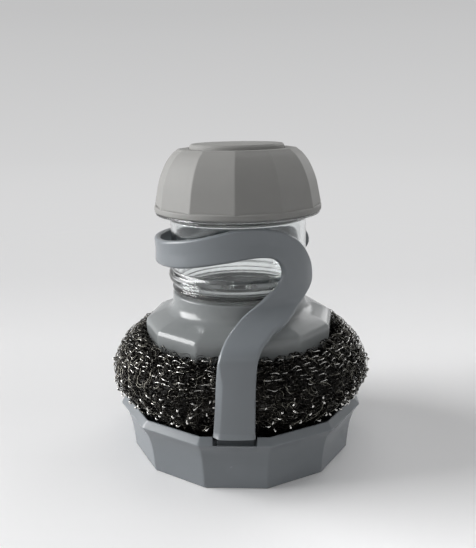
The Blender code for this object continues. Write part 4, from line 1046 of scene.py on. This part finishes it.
def ribbon_rows(name, points, widths, normals, wide, thick, corners, lanes=0):
    """Rows of ribbon as one mesh with its own UV map: closed rings, or short strands side by side in lanes."""
    rows, n = points.shape[:2]
    sides = len(corners)
    rings = np.stack([points + widths * (a * wide) + normals * (b * thick) for a, b in corners], 2)
    row = np.arange(rows)[:, None, None]
    i = np.arange(n - 1 if lanes else n)[None, :, None]
    k = np.arange(sides)[None, None, :]

    def index(r, a, b):
        return (r * n + a % n) * sides + b % sides

    def patch(left, right, low, high):
        return np.stack(np.broadcast_arrays(left, low, right, low, right, high, left, high), -1).reshape(-1, 8)

    quads = np.stack([index(row, i, k), index(row, i + 1, k), index(row, i + 1, k + 1),
                      index(row, i, k + 1)], -1).reshape(-1, 4)
    columns = max(lanes, 1)
    slots = -(-rows // columns)
    steps = n + 1 if lanes else n
    spots = patch((row % columns + i / steps) / columns, (row % columns + (i + 1) / steps) / columns,
                  (row // columns + (k + UV_LOW) / sides * UV_ROW) / slots,
                  (row // columns + (k + UV_HIGH) / sides * UV_ROW) / slots)
    if lanes:
        r = np.arange(rows)
        for place, ring, order in ((n - 1, 0, (3, 2, 1, 0)), (n, n - 1, (0, 1, 2, 3))):
            quads = np.concatenate([quads, np.stack([index(r, ring, c) for c in order], -1)])
            lid = patch((r % columns + (place + UV_LOW) / steps) / columns,
                        (r % columns + (place + UV_HIGH) / steps) / columns,
                        (r // columns + UV_LOW) / slots, (r // columns + UV_END) / slots)
            spots = np.concatenate([spots, lid])
    mesh = bpy.data.meshes.new(name)
    mesh.from_pydata(rings.reshape(-1, 3).tolist(), [], quads.tolist())
    layer = mesh.uv_layers.new(name="OFBake")
    layer.data.foreach_set("uv", spots.astype(np.float32).ravel())
    mesh.shade_smooth()
    return mesh


def along_ball(curve, run, spin, up):
    """Points on the ball at a run along it, a turn and a lift, and the way out of the ball at each."""
    points = pressed(on_ball(curve, run, spin, up))
    return points, on_ball(curve, run, spin, up + PROBE) - on_ball(curve, run, spin, up)


def laid(name, curve, thick, along, turns, length, tilt, bend, lift):
    """Short tapered strands laid on the ball: one per entry, curled in its surface."""
    s = np.linspace(-1, 1, STRAND_POINTS)[None, :]
    u = length / 2 * s
    v = bend * length / 2 * (s * s - STRAND_MIDDLE)
    across = u * np.cos(tilt) - v * np.sin(tilt)
    down = u * np.sin(tilt) + v * np.cos(tilt)
    spin = turns + across / (2 * math.pi * np.interp(along, curve[0], curve[1][:, 0]))
    run = np.clip(along + down, RUN_MARGIN, curve[0][-1] - RUN_MARGIN)
    up = lift + thick * STRAND_ARCH * (1 - s * s)
    points, outward = along_ball(curve, run, spin, up)
    ahead = unit(np.gradient(points, axis=1))
    side = unit(np.cross(ahead, outward))
    taper = 2 * thick * np.sqrt(1 - (STRAND_TIP * s) ** 2)[..., None]
    return ribbon_rows(name, points, side, np.cross(side, ahead), taper, taper * STRAND_FLAT, STRAND,
                       STRAND_LANES)


def strewn(curve, random, first, last, step, spacing, keep, shake):
    """Places in rows round the ball, shaken off their grid, a share of them kept."""
    along, turns = [], []
    for row in np.arange(first, last, step):
        count = int(2 * math.pi * np.interp(row, curve[0], curve[1][:, 0]) / spacing)
        kept = random.uniform(size=count) < keep
        along.append((row + random.uniform(-shake, shake, count) * STRAND_SHAKE)[kept])
        turns.append(((np.arange(count) + random.uniform(-shake, shake, count)) / count)[kept])
    return np.concatenate(along), np.concatenate(turns)


def knit(name, curve, rows, lift, seed, corners, points_each, wildness):
    """Courses of knitted ribbon laid over the ball, as one piece."""
    random = np.random.default_rng(seed)
    length = curve[0][-1]
    n = KNIT_STITCHES * points_each
    t = 2 * math.pi * np.arange(n)[None, :] / points_each
    along = np.array([np.full(n, (r + 0.5) * KNIT_PITCH) for r in rows])
    turns = np.repeat((np.arange(n) / n)[None, :], len(rows), axis=0)
    turns = turns + random.uniform(0, 1, (len(rows), 1)) * KNIT_SHIFT
    down = np.clip(along / length, 0, 1)
    pitch = 1 / KNIT_STITCHES

    def field(grid, k):
        return soft_field(turns, down, *grid, seed * 31 + k)

    def wild(middle, spread, k):
        return middle + spread * wildness * field(STITCH_FIELD, k)

    swing = KNIT_PITCH * wild(*KNIT_SWING, 1)
    sway = pitch * wild(*KNIT_SWAY, 2)
    deep = KNIT_DEPTH * wild(*DEPTH_SHARE, 3)
    pleats = np.cos(KNIT_PLEATS * 2 * math.pi * turns + PLEAT_DRIFT * field(PLEAT_FIELD, 4))
    lumps = BROAD_LUMPS * field(BROAD_FIELD, 5) + SMALL_LUMPS * field(SMALL_FIELD, 6)
    shown = np.clip((CALM_FROM - down) / CALM_RUN, 0, 1)
    raised = lift + shown * (PLEAT_HEIGHT * pleats + lumps)
    stray = np.maximum(field(FINE_FIELD, 7) - STRAY_FROM, 0) * KNIT_STRAY * shown
    wander = KNIT_WANDER * KNIT_PITCH * field(WANDER_FIELD, 8)
    run = np.clip(along + wander - swing * np.cos(t), RUN_MARGIN, length - RUN_MARGIN)
    spin = turns + sway * np.sin(2 * t) + KNIT_JITTER * pitch * field(FINE_FIELD, 9)
    points, outward = along_ball(curve, run, spin, raised + deep * np.cos(2 * t) + stray)
    ahead = unit(np.roll(points, -1, axis=1) - np.roll(points, 1, axis=1))
    side = unit(np.cross(ahead, unit(outward)))
    twist = KNIT_TWIST[0] * np.sin(t) + KNIT_TWIST[1] * field(FINE_FIELD, 10)
    widths = side * np.cos(twist)[..., None] + np.cross(side, ahead) * np.sin(twist)[..., None]
    return ribbon_rows(name, points, widths, np.cross(ahead, widths), KNIT_WIDTH, KNIT_THICK, corners)


def add_ball():
    """The knitted ball: two shown layers of ribbon, an inner one, loose strands and a packed core; the lower rows,
    the inner layer and the core are coloured darker as painted shade.
    """
    curve = ball_curve()
    count = int(curve[0][-1] / KNIT_PITCH)
    dark = int(KNIT_SHADE_FROM / KNIT_PITCH)
    upper = knit("knit_upper", curve, range(dark), *SHOWN_LAYER)
    lower = knit("knit_lower", curve, range(dark, count), *SHOWN_LAYER)
    inner = knit("knit_inner", curve, range(count), *INNER_LAYER)
    # painted shade: the lower rows and the inner layer are coloured darker, without flecks, for the shade by the
    # tray and deep in the ball
    add_piece("knit_upper", upper, "wire_ball", "head", ("wire_ball",))
    add_piece("knit_lower", lower, "wire_ball", "head", look="shaded_ribbon")
    add_piece("knit_inner", inner, "wire_ball", "head", look="shaded_ribbon")
    add_strands(curve)
    add_core(curve)


def add_strands(curve):
    """Painted glints on the ball, strands in lighter steel than the knit: rows of flat stitches, round turns lower
    down, and loose curls.
    """
    random = np.random.default_rng(STRAND_SEED)
    for (name, look, thick), spread, ranges in STRANDS:
        along, turns = strewn(curve, random, *spread)
        if name == "knit_curls":
            # fewer of them on the arm's side, as painted shade: that side of the ball is kept darker
            loose = random.uniform(*CURL_CHANCE, len(along)) > -np.sin(2 * math.pi * turns)
            along, turns = along[loose], turns[loose]
        drawn = [random.uniform(low, high, len(along)) for low, high in ranges]
        columns = [values[:, None] for values in (along, turns, *drawn)]
        add_piece(name, laid(name, curve, thick, *columns), "wire_ball", "head", look=look)


def add_core(curve):
    """The lumpy mass under the shown ribbons, coloured near black as painted shade for the deeper tangle, with
    room for the mount, the nut and the skirt.
    """
    outer = [tuple(p - n * CORE_DEPTH) for p, n in zip(curve[1][::CORE_SKIP], curve[2][::CORE_SKIP])]
    outer = [p for p in outer if p[0] > CORE_EDGE or (p[1] < CORE_LOW and p[0] > BALL_FOOT_RADIUS)]
    rows = softened([*CORE_GROOVE, *outer, *CORE_HOLLOW], BROAD_SOFT)
    mesh = spun("painted_shade_core", rows, round_turn(CORE_STEPS))
    spots = np.empty(len(mesh.vertices) * 3)
    mesh.vertices.foreach_get("co", spots)
    spots = spots.reshape(-1, 3)
    radius = np.hypot(spots[:, 0], spots[:, 1])
    turns = np.arctan2(spots[:, 1], spots[:, 0]) / (2 * math.pi) % 1
    down = np.clip((BALL_TOP - spots[:, 2]) / (BALL_TOP - BALL_Z), 0, 1)
    bump = soft_field(turns, down, *CORE_FIELD, CORE_SEED) * CORE_LUMPS
    spots[:, :2] *= (1 + np.where(radius > CORE_EDGE, bump / np.maximum(radius, TINY), 0))[:, None]
    mesh.vertices.foreach_set("co", pressed(spots).ravel())
    mesh.update()
    add_piece("painted_shade_core", mesh, "wire_ball", "head", look="painted_shade_core")


make_looks()
add_camera()
add_light()
add_stage()
dress_nodes()
add_tray()
add_arm()
add_head()
add_cap()
add_turned()
add_spring()
add_ball()
